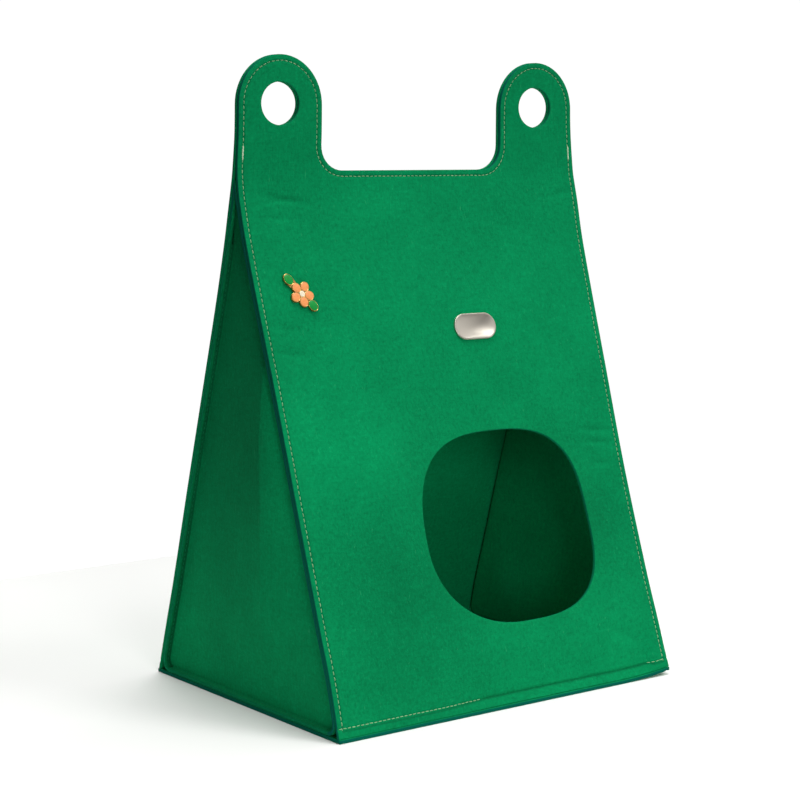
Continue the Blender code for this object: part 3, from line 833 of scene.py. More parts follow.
def felt_gusset(name, side):
    """A gusset: its web, the folds round it and its margins, thickened to felt."""
    bm = bmesh.new()
    cut = bm.verts.layers.float.new("cut_edge")
    nap = bm.verts.layers.float.new("nap")
    grid = []
    for height, front, rear in web_rows(side):
        line = []
        for y in web_columns(front, rear):
            reach = web_reach(side, y, height, front, rear)
            v = bm.verts.new((side * reach, y, height))
            # painted light and shade of the web
            v[nap] = web_painted_light(y, height, front)
            line.append(v)
        grid.append(line)
    tip = bm.verts.new(web_tip(side, grid[-1][0].co.z))
    columns = range(STRIP_COLUMNS + WEB_COLUMNS - 1)
    for lower, upper in zip(grid, grid[1:]):
        for k in columns:
            bm.faces.new((lower[k], lower[k + 1], upper[k + 1], upper[k]))
    for k in columns:
        bm.faces.new((grid[-1][k], grid[-1][k + 1], tip))

    rear_side = [line[-1] for line in grid[1:]]
    front_side = [line[0] for line in reversed(grid[1:])]
    loop = list(grid[0]) + rear_side + [tip] + front_side
    start = [v.co.copy() for v in loop]
    outward = outward_along(start)
    gusset_loops[side] = (start, outward)
    # the raw edge is darkest along the front seam; the rear fold gets painted crevice shade
    edge_tones = [1.0 if v in front_side or v is tip else MARGIN_TONE for v in loop]
    fold_painted_shades = [FOLD_PAINTED_SHADE if v in rear_side else 0.0 for v in loop]
    rings = []
    for degrees in FOLD_ANGLES:
        a = math.radians(degrees)
        pressed_and_shaded = eased(0.0, 45.0, degrees)
        rings.append((FOLD_RADIUS * math.sin(a), FOLD_RADIUS * (1.0 - math.cos(a)), 0.0, pressed_and_shaded))
    for rise, pressed_and_shaded in MARGIN_RINGS:
        rings.append((FOLD_RADIUS, rise, 0.0, pressed_and_shaded))
    rings.append((FOLD_RADIUS, SEAM_MARGIN, 1.0, 0.0))
    inner = loop
    for out, rise, share, pressed_and_shaded in rings:
        outer = []
        for co, direction, edge_tone, fold_painted_shade in zip(start, outward, edge_tones, fold_painted_shades):
            v = bm.verts.new(co + direction * out + Vector((side * rise, 0.0, 0.0)))
            v[cut] = share * edge_tone
            # painted shade along the rear fold
            v[nap] = pressed_and_shaded * fold_painted_shade
            outer.append(v)
        for i in range(len(loop)):
            k = (i + 1) % len(loop)
            bm.faces.new((inner[i], inner[k], outer[k], outer[i]))
        inner = outer
    for v in bm.verts:
        v.co.z += corner_curl(v.co)
    piece = finished(name, bm)

    bpy.ops.object.select_all(action="DESELECT")
    bpy.context.view_layer.objects.active = piece
    piece.select_set(True)
    thick = piece.modifiers.new("felt thickness", "SOLIDIFY")
    thick.thickness = FELT
    thick.offset = 0.0
    thick.use_even_offset = True
    soft = piece.modifiers.new("soft lips", "BEVEL")
    soft.width = EDGE_ROUND
    soft.segments = 2
    soft.limit_method = "ANGLE"
    soft.angle_limit = math.radians(60.0)
    soft.use_clamp_overlap = False
    for modifier in ("felt thickness", "soft lips"):
        bpy.ops.object.modifier_apply(modifier=modifier)
    return piece


left_gusset_felt = felt_gusset("left_gusset_felt", LEFT)
right_gusset_felt = felt_gusset("right_gusset_felt", RIGHT)
for piece in (left_gusset_felt, right_gusset_felt):
    print(piece.name, len(piece.data.polygons), "faces")

# %% [markdown]
# ## Stitching
#
# The tent is sewn in a long lock stitch, with a pale thread on the outside and a
# green one, the bobbin's, on the hidden side.  One stitch is a piece of thread that
# comes up out of the felt, lies on it for 3 to 4 mm and dives in again, so it is
# modelled once: a small disc spun through an arc.  Copies of it are then set along
# every seam, each turned and shifted a little by chance, as real stitches are.

# %% One stitch
THREAD = 0.00068            # across the thread
STITCH = 0.0034             # length of one stitch on the surface
PITCH = 0.0048              # from one stitch to the next
STITCH_RISE = 0.0006        # how far its middle stands out of the felt

bpy.ops.object.select_all(action="DESELECT")
bow_radius = STITCH**2 / (8 * STITCH_RISE) + STITCH_RISE / 2
bow_angle = 2 * math.asin(STITCH / 2 / bow_radius)
bpy.ops.mesh.primitive_circle_add(
    vertices=6, radius=THREAD / 2, fill_type="NGON",
    location=(-STITCH / 2, 0.0, 0.0), rotation=(0.0, math.pi / 2, 0.0),
)
stitch = bpy.context.object
stitch.name = "one_stitch"
bpy.ops.object.transform_apply(location=True, rotation=True)
bpy.ops.object.mode_set(mode="EDIT")
bpy.ops.mesh.select_all(action="SELECT")
bpy.ops.mesh.spin(
    steps=4, angle=-bow_angle, center=(0.0, 0.0, STITCH_RISE - bow_radius), axis=(0.0, 1.0, 0.0),
)
bpy.ops.mesh.select_all(action="SELECT")
bpy.ops.mesh.normals_make_consistent(inside=False)
bpy.ops.object.mode_set(mode="OBJECT")
stitch_places = [v.co.copy() for v in stitch.data.vertices]
stitch_faces = [tuple(p.vertices) for p in stitch.data.polygons]
bpy.data.objects.remove(stitch, do_unlink=True)
print("one stitch:", len(stitch_faces), "faces, its top at", round(max(v.z for v in stitch_places), 5))


# %% Rows of stitches
WANDER, TWIST = 0.00015, 5.0    # how unevenly stitches lie, in metres and degrees
chance = random.Random(11)


def stitch_frame(place, along, out, sink=0.0, length=1.0):
    """Where a stitch goes: X along the seam, Z out of the felt."""
    along = (along - out * along.dot(out)).normalized()
    across = out.cross(along)
    turned = Matrix((along, across, out)).transposed().to_4x4()
    place = place - out * sink + across * chance.uniform(-WANDER, WANDER)
    turn = Matrix.Rotation(math.radians(chance.uniform(-TWIST, TWIST)), 4, "Z")
    size = Matrix.Diagonal((length, 1.0, 1.0, 1.0))
    return Matrix.Translation(place) @ turned @ turn @ size


def stitch_row(name, places):
    """All the stitches of a seam, as one piece."""
    verts, faces = [], []
    for place in places:
        first = len(verts)
        verts += [place @ v for v in stitch_places]
        faces += [tuple(first + i for i in face) for face in stitch_faces]
    mesh = bpy.data.meshes.new(name)
    mesh.from_pydata(verts, [], faces)
    mesh.shade_smooth()
    row = bpy.data.objects.new(name, mesh)
    bpy.context.collection.objects.link(row)
    print(name, len(places), "stitches")
    return row


def along_line(points, start, end, pitch):
    """Places and directions pitch apart along an open line of 2D points."""
    points = [Vector(p) for p in points]
    made, walked, target = [], 0.0, start + pitch / 2
    total = sum((b - a).length for a, b in zip(points, points[1:]))
    for a, b in zip(points, points[1:]):
        run = (b - a).length
        while target <= walked + run and target < total - end:
            made.append((a.lerp(b, (target - walked) / run), (b - a).normalized()))
            target += pitch
        walked += run
    return made


# %% [markdown]
# The rows follow the seams: up and round each panel, along the bottom, through the
# gussets' margins, and on the underside.  A stitch is pulled into the felt a little.

# %% Where the rows run
SINK = 0.0002               # how deep a stitch is pulled into the felt
MARGIN_SINK = 0.0004
UNDER_SINK = 0.0008
AHEAD = 0.001               # a row's direction is read over this distance
ROW_START = (0.19, 0.006)   # the long row starts right of and above this corner
BOTTOM_ROW = (0.0035, 0.003)    # its ends, from the left and the right edge
HIDING_LIP = 0.80           # where the lip is turned out further, it hides the row


def edge_stitches(panel_side):
    """The row round a panel's side edges, ears and notch."""
    outline = panel_outline(panel_side)
    first = min(i for i, (x, z) in enumerate(outline) if x > ROW_START[0] and z > ROW_START[1])
    line = moved_in(outline, SEAM_INSET)[first:]
    line.append((-edge_x(LEFT, 0.0) + SEAM_INSET, panel_bottom(panel_side, -BASE_WIDTH / 2)))
    frames = []
    for spot, run in along_line(line, AHEAD, AHEAD, PITCH):
        ahead = spot + run * AHEAD
        here = on_panel(panel_side, spot.x, spot.y, 0.0, SEAM_INSET)
        there = on_panel(panel_side, ahead.x, ahead.y, 0.0, SEAM_INSET)
        out = -inward(panel_side, spot.x, spot.y)
        frames.append(stitch_frame(here, there - here, out, SINK))
    return frames


def bottom_stitches(panel_side):
    """The row that sews a panel to the bottom; the turned-out lip covers some."""
    frames = []
    x = -BASE_WIDTH / 2 + BOTTOM_ROW[0]
    while x < BASE_WIDTH / 2 - BOTTOM_ROW[1]:
        if panel_side == REAR_SIDE or lip(x) < HIDING_LIP:
            here = on_panel(panel_side, x, LIP_HEIGHT, 0.0)
            there = on_panel(panel_side, x + AHEAD, LIP_HEIGHT, 0.0)
            out = -inward(panel_side, x, LIP_HEIGHT)
            frames.append(stitch_frame(here, there - here, out, SINK))
        x += PITCH
    return frames


def gusset_stitches(side):
    """The seams of a gusset, on the faces of its margins that show."""
    start, outward = gusset_loops[side]
    rise = SEAM_MARGIN - GUSSET_STITCH
    frames = []
    walked, target = 0.0, PITCH
    count = len(start)
    for i in range(count):
        k = (i + 1) % count
        run = start[k] - start[i]
        while target <= walked + run.length:
            share = (target - walked) / run.length
            normal = outward[i].lerp(outward[k], share).normalized()
            place = start[i].lerp(start[k], share) + normal * (FOLD_RADIUS - FELT / 2)
            place.x += side * rise
            place.z += corner_curl(place)
            if place.z < GUSSET_STITCH_TOP:
                frames.append(stitch_frame(place, run, -normal, MARGIN_SINK))
            target += PITCH
        walked += run.length
    return frames


def under_stitches():
    """The rows round the underside of the bottom."""
    frames = []
    down = Vector((0.0, 0.0, -1.0))
    for sign in (-1, 1):
        for k in range(int(BASE_WIDTH / PITCH) - 1):
            x = -half_x + PITCH * (k + 1)
            here = on_base(x, sign * (half_y - BASE_SEAM), FELT)
            frames.append(stitch_frame(here, Vector((1.0, 0.0, 0.0)), down, UNDER_SINK))
        for k in range(int(BASE_DEPTH / PITCH) - 1):
            y = -half_y + PITCH * (k + 1)
            here = on_base(sign * (half_x - BASE_SEAM), y, FELT)
            frames.append(stitch_frame(here, Vector((0.0, 1.0, 0.0)), down, UNDER_SINK))
    return frames


front_stitches = stitch_row("front_stitches", edge_stitches(FRONT_SIDE) + bottom_stitches(FRONT_SIDE))
rear_stitches = stitch_row("rear_stitches", edge_stitches(REAR_SIDE) + bottom_stitches(REAR_SIDE))
left_stitches = stitch_row("left_gusset_stitches", gusset_stitches(LEFT))
right_stitches = stitch_row("right_gusset_stitches", gusset_stitches(RIGHT))
bottom_row = stitch_row("bottom_stitches", under_stitches())

# %% [markdown]
# ## Bartacks
#
# Where a side seam ends under an ear, a bartack locks it: the needle runs a bundle
# of long threads and sews over them with a dense zigzag.  From a step away it is a
# short bright bar, about 13 mm long.

# %% Bartacks
BARTACK_LOW, BARTACK_HIGH = 0.5070, 0.5200
BARTACK_STEP = 0.00072
BARTACK_HALF = 0.00055
BARTACK_SLANT = 0.55
BARTACK_THREADS = (0.5090, 0.5120, 0.5150, 0.5180)
LONG_THREAD = 0.0032
THREAD_SHIFT = 0.0003
frames = []
for panel_side in (FRONT_SIDE, REAR_SIDE):
    for side in (LEFT, RIGHT):
        for k in range(int((BARTACK_HIGH - BARTACK_LOW) / BARTACK_STEP)):
            z = BARTACK_LOW + BARTACK_STEP * (k + 0.5)
            x = side * (edge_x(side, z) - SEAM_INSET) + chance.uniform(-0.00012, 0.00012)
            here = on_panel(panel_side, x, z, 0.0, SEAM_INSET)
            out = -inward(panel_side, x, z)
            slant = BARTACK_SLANT if k % 2 else -BARTACK_SLANT
            along = Vector((1.0, 0.0, slant + chance.uniform(-0.12, 0.12)))
            lift = chance.uniform(0.0, 0.0002)
            frames.append(stitch_frame(here, along, out, -lift, 2 * BARTACK_HALF / STITCH))
        for shift in (-THREAD_SHIFT, THREAD_SHIFT):
            for z in BARTACK_THREADS:
                x = side * (edge_x(side, z) - SEAM_INSET) + shift
                here = on_panel(panel_side, x, z, 0.0, SEAM_INSET)
                out = -inward(panel_side, x, z)
                along = Vector((0.0, 0.0, 1.0))
                frames.append(stitch_frame(here, along, out, -0.0001, LONG_THREAD / STITCH))
bartacks = stitch_row("bartacks", frames)

# %% [markdown]
# ## The oval plate
#
# A small plate of die-cast zinc sits on the front: a stadium with a rounded lip
# and a very shallow sunk field.  It starts as a cylinder whose two halves are
# pulled apart; inset and bevel then shape its face.  The field stays blank.

# %% Plate
PLATE_WIDTH = 0.0500
PLATE_TALL = 0.0256
PLATE_THICK = 0.0020
PLATE_POINTS = 80           # round both halves together
PLATE_ROUND = 0.0007        # the lip's rounding
PLATE_RIM = 0.0013
FIELD_WALL, FIELD_SINK = 0.0003, 0.00022
PLATE_PRESS = 0.0001        # how far the plate is pressed into the felt


def face_frame(x, height, lift):
    """A frame on the front panel: X across, Y up the slope, Z out of it."""
    out = -inward(FRONT_SIDE, x, height)
    ahead = face_y(FRONT_SIDE, x + 0.01, height) - face_y(FRONT_SIDE, x - 0.01, height)
    across = Vector((0.02, ahead, 0.0))
    across = (across - out * across.dot(out)).normalized()
    turned = Matrix((across, out.cross(across), out)).transposed().to_4x4()
    place = Vector((x, face_y(FRONT_SIDE, x, height), height)) + out * lift
    return Matrix.Translation(place) @ turned


def select_where(piece, kind, rule):
    """In edit mode, selects the faces, edges or vertices for which a rule holds."""
    bpy.ops.mesh.select_all(action="DESELECT")
    bpy.ops.mesh.select_mode(type=kind)
    bm = bmesh.from_edit_mesh(piece.data)
    for part in {"VERT": bm.verts, "EDGE": bm.edges, "FACE": bm.faces}[kind]:
        if rule(part):
            part.select_set(True)
    bmesh.update_edit_mesh(piece.data)


def settled(piece, place):
    """Puts a piece's place into its mesh, so that its object is at the origin."""
    piece.data.transform(place @ piece.matrix_world)
    piece.matrix_world = Matrix.Identity(4)
    piece.data.shade_smooth()


bpy.ops.object.select_all(action="DESELECT")
bpy.ops.mesh.primitive_cylinder_add(
    vertices=PLATE_POINTS, radius=PLATE_TALL / 2, depth=PLATE_THICK,
    location=(0.0, 0.0, PLATE_THICK / 2), rotation=(0.0, 0.0, math.pi / PLATE_POINTS),
)
plate = bpy.context.object
plate.name = "plain_plate"
bpy.ops.object.transform_apply(location=True, rotation=True)
bpy.ops.object.mode_set(mode="EDIT")
half_run = (PLATE_WIDTH - PLATE_TALL) / 2
for sign in (-1, 1):
    select_where(plate, "VERT", lambda v: v.co.x * sign > 0.0)
    bpy.ops.transform.translate(value=(sign * half_run, 0.0, 0.0))
select_where(plate, "FACE", lambda f: f.normal.z > 0.9)
bpy.ops.mesh.bevel(offset=PLATE_ROUND, segments=4, profile=0.6, affect="EDGES")
select_where(plate, "FACE", lambda f: f.normal.z > 0.9 and f.calc_area() > 1e-4)
bpy.ops.mesh.inset(thickness=PLATE_RIM)
bpy.ops.mesh.inset(thickness=FIELD_WALL, depth=-FIELD_SINK)
bpy.ops.object.mode_set(mode="OBJECT")
settled(plate, face_frame(*PLATE_PLACE, -PLATE_PRESS))
plate.data.set_sharp_from_angle(angle=math.radians(50.0))
print("plate:", len(plate.data.polygons), "faces")

# %% [markdown]
# ## The enamel pin
#
# A pin of gilt metal with glossy enamel fields: a five-petalled flower with a
# cream heart between two leaves.  The metal back is the CAD's own piece; each
# field gets a thin raised wire round it and a slightly domed drop of enamel.

# %% Enamel fields and their wires
PIN_TURN = math.radians(-50.0)
PIN_BACK = 0.0012
PIN_ENAMEL = 0.0007
PETALS = 5
PETAL_REACH, PETAL_LENGTH, PETAL_WIDTH = 0.0076, 0.0044, 0.0040
HEART_RADIUS = 0.0028
LEAF_REACHES = (0.0150, 0.0184)
LEAF_LENGTH, LEAF_WIDTH = 0.0052, 0.0042
WIRE = 0.0005               # across the wire
DOME_STEPS, DOME_RISE = (0.0003, 0.0005, 0.0007), 0.00008

leaf_turns = [math.pi / PETALS, math.pi / PETALS + math.pi]
pin_seat = face_frame(*PIN_PLACE, 1.5 * GAP)
pin_seat = pin_seat @ Matrix.Rotation(PIN_TURN - leaf_turns[0], 4, "Z")
on_top = pin_seat @ Matrix.Translation((0.0, 0.0, PIN_BACK))


def enamel_field(name, length, width, reach, turn):
    """A domed drop of enamel: a short cylinder, pulled oval and rounded on top."""
    bpy.ops.object.select_all(action="DESELECT")
    bpy.ops.mesh.primitive_cylinder_add(
        vertices=32, radius=1.0, depth=PIN_ENAMEL, location=(0.0, 0.0, PIN_ENAMEL / 2),
    )
    drop = bpy.context.object
    drop.name = name
    bpy.ops.object.transform_apply(location=True, rotation=True)
    bpy.ops.object.mode_set(mode="EDIT")
    bpy.ops.mesh.select_all(action="SELECT")
    bpy.ops.transform.resize(value=(length, width, 1.0))
    select_where(drop, "FACE", lambda f: f.normal.z > 0.9)
    for step in DOME_STEPS:
        bpy.ops.mesh.inset(thickness=step, depth=DOME_RISE)
    bpy.ops.object.mode_set(mode="OBJECT")
    place = Matrix.Rotation(turn, 4, "Z") @ Matrix.Translation((reach, 0.0, 0.0))
    settled(drop, on_top @ place)
    drop.data.set_sharp_from_angle(angle=math.radians(50.0))
    return drop


def field_wire(name, length, width, reach, turn):
    """The gilt wire that holds a field: an oval ring of round section."""
    bpy.ops.object.select_all(action="DESELECT")
    bpy.ops.mesh.primitive_torus_add(
        major_segments=36, minor_segments=8, major_radius=length, minor_radius=WIRE / 2,
    )
    ring = bpy.context.object
    ring.name = name
    bpy.ops.object.mode_set(mode="EDIT")
    bpy.ops.mesh.select_all(action="SELECT")
    bpy.ops.transform.resize(value=(1.0, width / length, 1.0))
    bpy.ops.mesh.select_all(action="SELECT")
    bpy.ops.transform.translate(value=(0.0, 0.0, PIN_ENAMEL * 0.8))
    bpy.ops.object.mode_set(mode="OBJECT")
    place = Matrix.Rotation(turn, 4, "Z") @ Matrix.Translation((reach, 0.0, 0.0))
    settled(ring, on_top @ place)
    return ring


pin_fields = [("pin_heart", HEART_RADIUS, HEART_RADIUS, 0.0, 0.0, "cream")]
for i in range(PETALS):
    turn = 2 * math.pi * i / PETALS
    pin_fields.append((f"pin_petal_{i + 1}", PETAL_LENGTH, PETAL_WIDTH, PETAL_REACH, turn, "orange"))
for i, (turn, reach) in enumerate(zip(leaf_turns, LEAF_REACHES)):
    pin_fields.append((f"pin_leaf_{i + 1}", LEAF_LENGTH, LEAF_WIDTH, reach, turn, "green"))
drops, wires = [], []
for node, length, width, reach, turn, tint in pin_fields:
    shape = (length, width, reach, turn)
    drops.append((node, enamel_field(node + "_enamel", *shape), tint))
    wires.append(field_wire(node + "_wire", length + WIRE / 2, width + WIRE / 2, reach, turn))
print("pin:", len(drops), "fields")

# %% [markdown]
# ## Materials
#
# Each material is built from what the real one is.  Colours are written as the hex
# values a colour picker shows and turned to linear light by one function, and one
# small helper adds a node with its settings and links.

# %% Material helpers
def hex_colour(code):
    """A colour written as #RRGGBB, in linear light, with full opacity."""
    channels = []
    for i in (1, 3, 5):
        value = int(code[i:i + 2], 16) / 255.0
        channels.append(value / 12.92 if value <= 0.04045 else ((value + 0.055) / 1.055) ** 2.4)
    return (*channels, 1.0)


def add_node(tree, kind, inputs, **settings):
    """Adds a node; an input is a value, or a (node, output) pair to link."""
    made = tree.nodes.new(kind)
    for key, value in settings.items():
        setattr(made, key, value)
    for key, value in inputs.items():
        if isinstance(value, tuple) and isinstance(value[0], bpy.types.Node):
            tree.links.new(value[0].outputs[value[1]], made.inputs[key])
        else:
            made.inputs[key].default_value = value
    return made


def new_material(name, colour, roughness, metallic=0.0):
    """A material with only its Principled shader and output."""
    made = bpy.data.materials.new(name)
    made.use_nodes = True
    shader = made.node_tree.nodes["Principled BSDF"]
    shader.inputs["Base Color"].default_value = hex_colour(colour)
    shader.inputs["Roughness"].default_value = roughness
    shader.inputs["Metallic"].default_value = metallic
    made.diffuse_color = hex_colour(colour)
    return made, made.node_tree, shader


MIX_A, MIX_B, MIX_OUT = 6, 7, 2     # the colour sockets of a Mix node


# %% [markdown]
# ### Needle-punched polyester felt
#
# Thousands of barbed needles tangle loose fibres into a dense mat.  The eye sees no
# weave: only soft clouds a few centimetres wide, a grain of fibre tufts 2 to 4 mm
# across, fine streaks where fibres lie side by side, and here and there one pale
# fibre.  It is so matt that hardly any white light bounces off, with a faint green
# bloom at grazing angles.  A die-cut edge shows fibre ends, darker and bluer.
#
# One fibre is only a few hundredths of a millimetre thick.  That is too fine to show,
# so each streak stands for a bundle of them, 1.6 mm wide and 13 mm long.  A noise's
# scale is how many of its patches fit in a metre.

# %% Felt
FELT_GREEN, PALE_FIBRE = "#04824E", "#4DB884"
PRESSED_AND_SHADED_GREEN, CUT_GREEN = "#04482A", "#025B4B"
CLOUD_SCALE = 16.0                      # clouds 60 mm wide
TUFT_SCALE = 330.0                      # tufts 3 mm across
UPRIGHT_SCALE = (620.0, 620.0, 75.0)
LEVEL_SCALE = (80.0, 80.0, 600.0)
PRESSED_AND_SHADED_SHARE = 0.42                    # how dark a groove is at its stitches: pressed felt and painted shade
PRESSED_AND_SHADED_REACH = (0.0003, 0.0014)        # from the middle of the groove outwards

felt, tree, shader = new_material("needle_punched_polyester_felt", FELT_GREEN, 0.95)
shader.inputs["Specular IOR Level"].default_value = 0.04
shader.inputs["Sheen Weight"].default_value = 0.05
shader.inputs["Sheen Roughness"].default_value = 0.55
shader.inputs["Sheen Tint"].default_value = hex_colour("#2E9E68")
coords = add_node(tree, "ShaderNodeTexCoord", {})
clouds = add_node(tree, "ShaderNodeTexNoise", {
    "Vector": (coords, "Object"), "Scale": CLOUD_SCALE, "Detail": 3.0, "Roughness": 0.55})
tufts = add_node(tree, "ShaderNodeTexNoise", {
    "Vector": (coords, "Object"), "Scale": TUFT_SCALE, "Detail": 4.0, "Roughness": 0.7,
    "Distortion": 0.6})
upright = add_node(tree, "ShaderNodeMapping", {
    "Vector": (coords, "Object"), "Scale": UPRIGHT_SCALE, "Rotation": (0.12, 0.10, 0.0)})
level = add_node(tree, "ShaderNodeMapping", {
    "Vector": (coords, "Object"), "Scale": LEVEL_SCALE, "Rotation": (-0.1, 0.15, 0.0)})
upright_fibres = add_node(tree, "ShaderNodeTexNoise", {
    "Vector": (upright, "Vector"), "Scale": 1.0, "Detail": 3.0, "Roughness": 0.6,
    "Distortion": 0.8})
level_fibres = add_node(tree, "ShaderNodeTexNoise", {
    "Vector": (level, "Vector"), "Scale": 1.0, "Detail": 3.0, "Roughness": 0.6,
    "Distortion": 0.8})
# painted light and shade that each point of a felt piece carries
nap = add_node(tree, "ShaderNodeAttribute", {}, attribute_name="nap")
shade = add_node(tree, "ShaderNodeMath", {0: (nap, "Fac"), 1: 1.0}, operation="ADD")
# each pattern makes the painted light and shade lighter and darker by its own share
for pattern, swing in ((clouds, 0.08), (tufts, 0.19), (upright_fibres, 0.07), (level_fibres, 0.06)):
    swung = add_node(tree, "ShaderNodeMapRange", {
        "Value": (pattern, "Fac"), "From Min": 0.3, "From Max": 0.7, "To Min": 1.0 - swing,
        "To Max": 1.0 + swing})
    shade = add_node(tree, "ShaderNodeMath", {0: (shade, 0), 1: (swung, "Result")},
                     operation="MULTIPLY")
grain = add_node(tree, "ShaderNodeMix", {
    "Factor": 1.0, MIX_A: hex_colour(FELT_GREEN), MIX_B: (shade, 0)},
    data_type="RGBA", blend_type="MULTIPLY")
pale = add_node(tree, "ShaderNodeMapRange", {
    "Value": (upright_fibres, "Fac"), "From Min": 0.67, "From Max": 0.75, "To Min": 0.0,
    "To Max": 0.22})
with_pale = add_node(tree, "ShaderNodeMix", {
    "Factor": (pale, "Result"), MIX_A: (grain, MIX_OUT), MIX_B: hex_colour(PALE_FIBRE)},
    data_type="RGBA")
# the groove beside a row of stitches is darkened: pressed felt, and painted shade in the groove
seam = add_node(tree, "ShaderNodeAttribute", {}, attribute_name="seam")
cut = add_node(tree, "ShaderNodeAttribute", {}, attribute_name="cut_edge")
seam_off = add_node(tree, "ShaderNodeMath", {0: (seam, "Fac"), 1: SEAM_INSET}, operation="SUBTRACT")
seam_away = add_node(tree, "ShaderNodeMath", {0: (seam_off, 0)}, operation="ABSOLUTE")
pressed_and_shaded = add_node(tree, "ShaderNodeMapRange", {
    "Value": (seam_away, 0), "From Min": PRESSED_AND_SHADED_REACH[0], "From Max": PRESSED_AND_SHADED_REACH[1],
    "To Min": PRESSED_AND_SHADED_SHARE, "To Max": 0.0})
darker = add_node(tree, "ShaderNodeMix", {
    "Factor": (pressed_and_shaded, "Result"), MIX_A: (with_pale, MIX_OUT), MIX_B: hex_colour(PRESSED_AND_SHADED_GREEN)},
    data_type="RGBA")
edge_tint = add_node(tree, "ShaderNodeMix", {
    "Factor": (cut, "Fac"), MIX_A: (darker, MIX_OUT), MIX_B: hex_colour(CUT_GREEN)},
    data_type="RGBA")
height = add_node(tree, "ShaderNodeMath", {0: (tufts, "Fac"), 1: (upright_fibres, "Fac")},
                  operation="ADD")
bump = add_node(tree, "ShaderNodeBump", {
    "Strength": 0.35, "Distance": 0.0006, "Height": (height, 0)})
tree.links.new(edge_tint.outputs[MIX_OUT], shader.inputs["Base Color"])
tree.links.new(bump.outputs["Normal"], shader.inputs["Normal"])

felt_pieces = (front_felt, rear_felt, left_gusset_felt, right_gusset_felt, base_felt)
for piece in felt_pieces:
    piece.data.materials.clear()
    piece.data.materials.append(felt)
print("felt on", [piece.name for piece in felt_pieces])

# %% [markdown]
# ### Thread, zinc, gilt and enamel
#
# Polyester sewing thread is twisted from fine filaments, so its lightness varies
# along it: pale yellow-green on the outside, the felt's green on the hidden side.
# Satin-plated zinc is metal with a broad, soft highlight.  Gilt plating is smooth
# and warm.  Soft enamel is a dense, even colour under a weak gloss.

# %% Thread and metals
THREAD_TONE_SCALE = 150.0   # a thread's lightness changes every 7 mm
ZINC_GRAIN_SCALE = 2600.0   # a satin grain of 0.4 mm
GILT_RUB_SCALE = 900.0      # rubbed spots 1 mm across
ENAMEL_POOL_SCALE = 420.0   # the enamel's colour pools over 2.5 mm


def sewing_thread(name, tones, rows):
    """Twisted thread between two tones, for the given rows of stitches."""
    made, tree, shader = new_material(name, tones[1], 0.75)
    shader.inputs["Specular IOR Level"].default_value = 0.08
    coords = add_node(tree, "ShaderNodeTexCoord", {})
    twist = add_node(tree, "ShaderNodeTexNoise", {
        "Vector": (coords, "Object"), "Scale": THREAD_TONE_SCALE, "Detail": 2.0,
        "Roughness": 0.6})
    tone = add_node(tree, "ShaderNodeMix", {
        "Factor": (twist, "Fac"), MIX_A: hex_colour(tones[0]), MIX_B: hex_colour(tones[1])},
        data_type="RGBA")
    tree.links.new(tone.outputs[MIX_OUT], shader.inputs["Base Color"])
    for row in rows:
        row.data.materials.append(made)


sewing_thread("pale_green_sewing_thread", ("#58AC7C", "#B9D6A6"),
              (front_stitches, rear_stitches))
sewing_thread("pale_green_bartack_thread", ("#BFE0B8", "#E4F4D8"), (bartacks,))
sewing_thread("green_bobbin_thread", ("#07603A", "#0E7A4C"),
              (left_stitches, right_stitches, bottom_row))

zinc, tree, shader = new_material("satin_die_cast_zinc_plate", "#CEC7BB", 0.42, 1.0)
coords = add_node(tree, "ShaderNodeTexCoord", {})
fine = add_node(tree, "ShaderNodeTexNoise", {
    "Vector": (coords, "Object"), "Scale": ZINC_GRAIN_SCALE, "Detail": 2.0})
satin = add_node(tree, "ShaderNodeMapRange", {
    "Value": (fine, "Fac"), "To Min": 0.36, "To Max": 0.50})
zinc_bump = add_node(tree, "ShaderNodeBump", {
    "Strength": 0.12, "Distance": 0.0001, "Height": (fine, "Fac")})
tree.links.new(satin.outputs["Result"], shader.inputs["Roughness"])
tree.links.new(zinc_bump.outputs["Normal"], shader.inputs["Normal"])
plate.data.materials.append(zinc)

gilt, tree, shader = new_material("polished_gilt_plating", "#D9B36A", 0.28, 1.0)
coords = add_node(tree, "ShaderNodeTexCoord", {})
rub = add_node(tree, "ShaderNodeTexNoise", {
    "Vector": (coords, "Object"), "Scale": GILT_RUB_SCALE, "Detail": 3.0})
polish = add_node(tree, "ShaderNodeMapRange", {
    "Value": (rub, "Fac"), "To Min": 0.20, "To Max": 0.38})
tree.links.new(polish.outputs["Result"], shader.inputs["Roughness"])
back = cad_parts["pin_back"]
for slot in back.material_slots:
    slot.material = gilt
for wire in wires:
    wire.data.materials.append(gilt)

# %% Enamel
enamel_tints = {"cream": ("#FAEFD8", "#EFE0BE"), "orange": ("#FBA867", "#EF9252"),
                "green": ("#06A040", "#048232")}
enamels = {}
for tint, (bright, deep) in enamel_tints.items():
    enamel, tree, shader = new_material(tint + "_soft_enamel", bright, 0.38)
    shader.inputs["Specular IOR Level"].default_value = 0.25
    shader.inputs["Coat Weight"].default_value = 0.15
    shader.inputs["Coat Roughness"].default_value = 0.15
    coords = add_node(tree, "ShaderNodeTexCoord", {})
    pool = add_node(tree, "ShaderNodeTexNoise", {
        "Vector": (coords, "Object"), "Scale": ENAMEL_POOL_SCALE, "Detail": 2.0})
    pooled = add_node(tree, "ShaderNodeMix", {
        "Factor": (pool, "Fac"), MIX_A: hex_colour(bright), MIX_B: hex_colour(deep)},
        data_type="RGBA")
    tree.links.new(pooled.outputs[MIX_OUT], shader.inputs["Base Color"])
    enamels[tint] = enamel
for node, drop, tint in drops:
    drop.data.materials.append(enamels[tint])
print("enamels:", sorted(enamels))
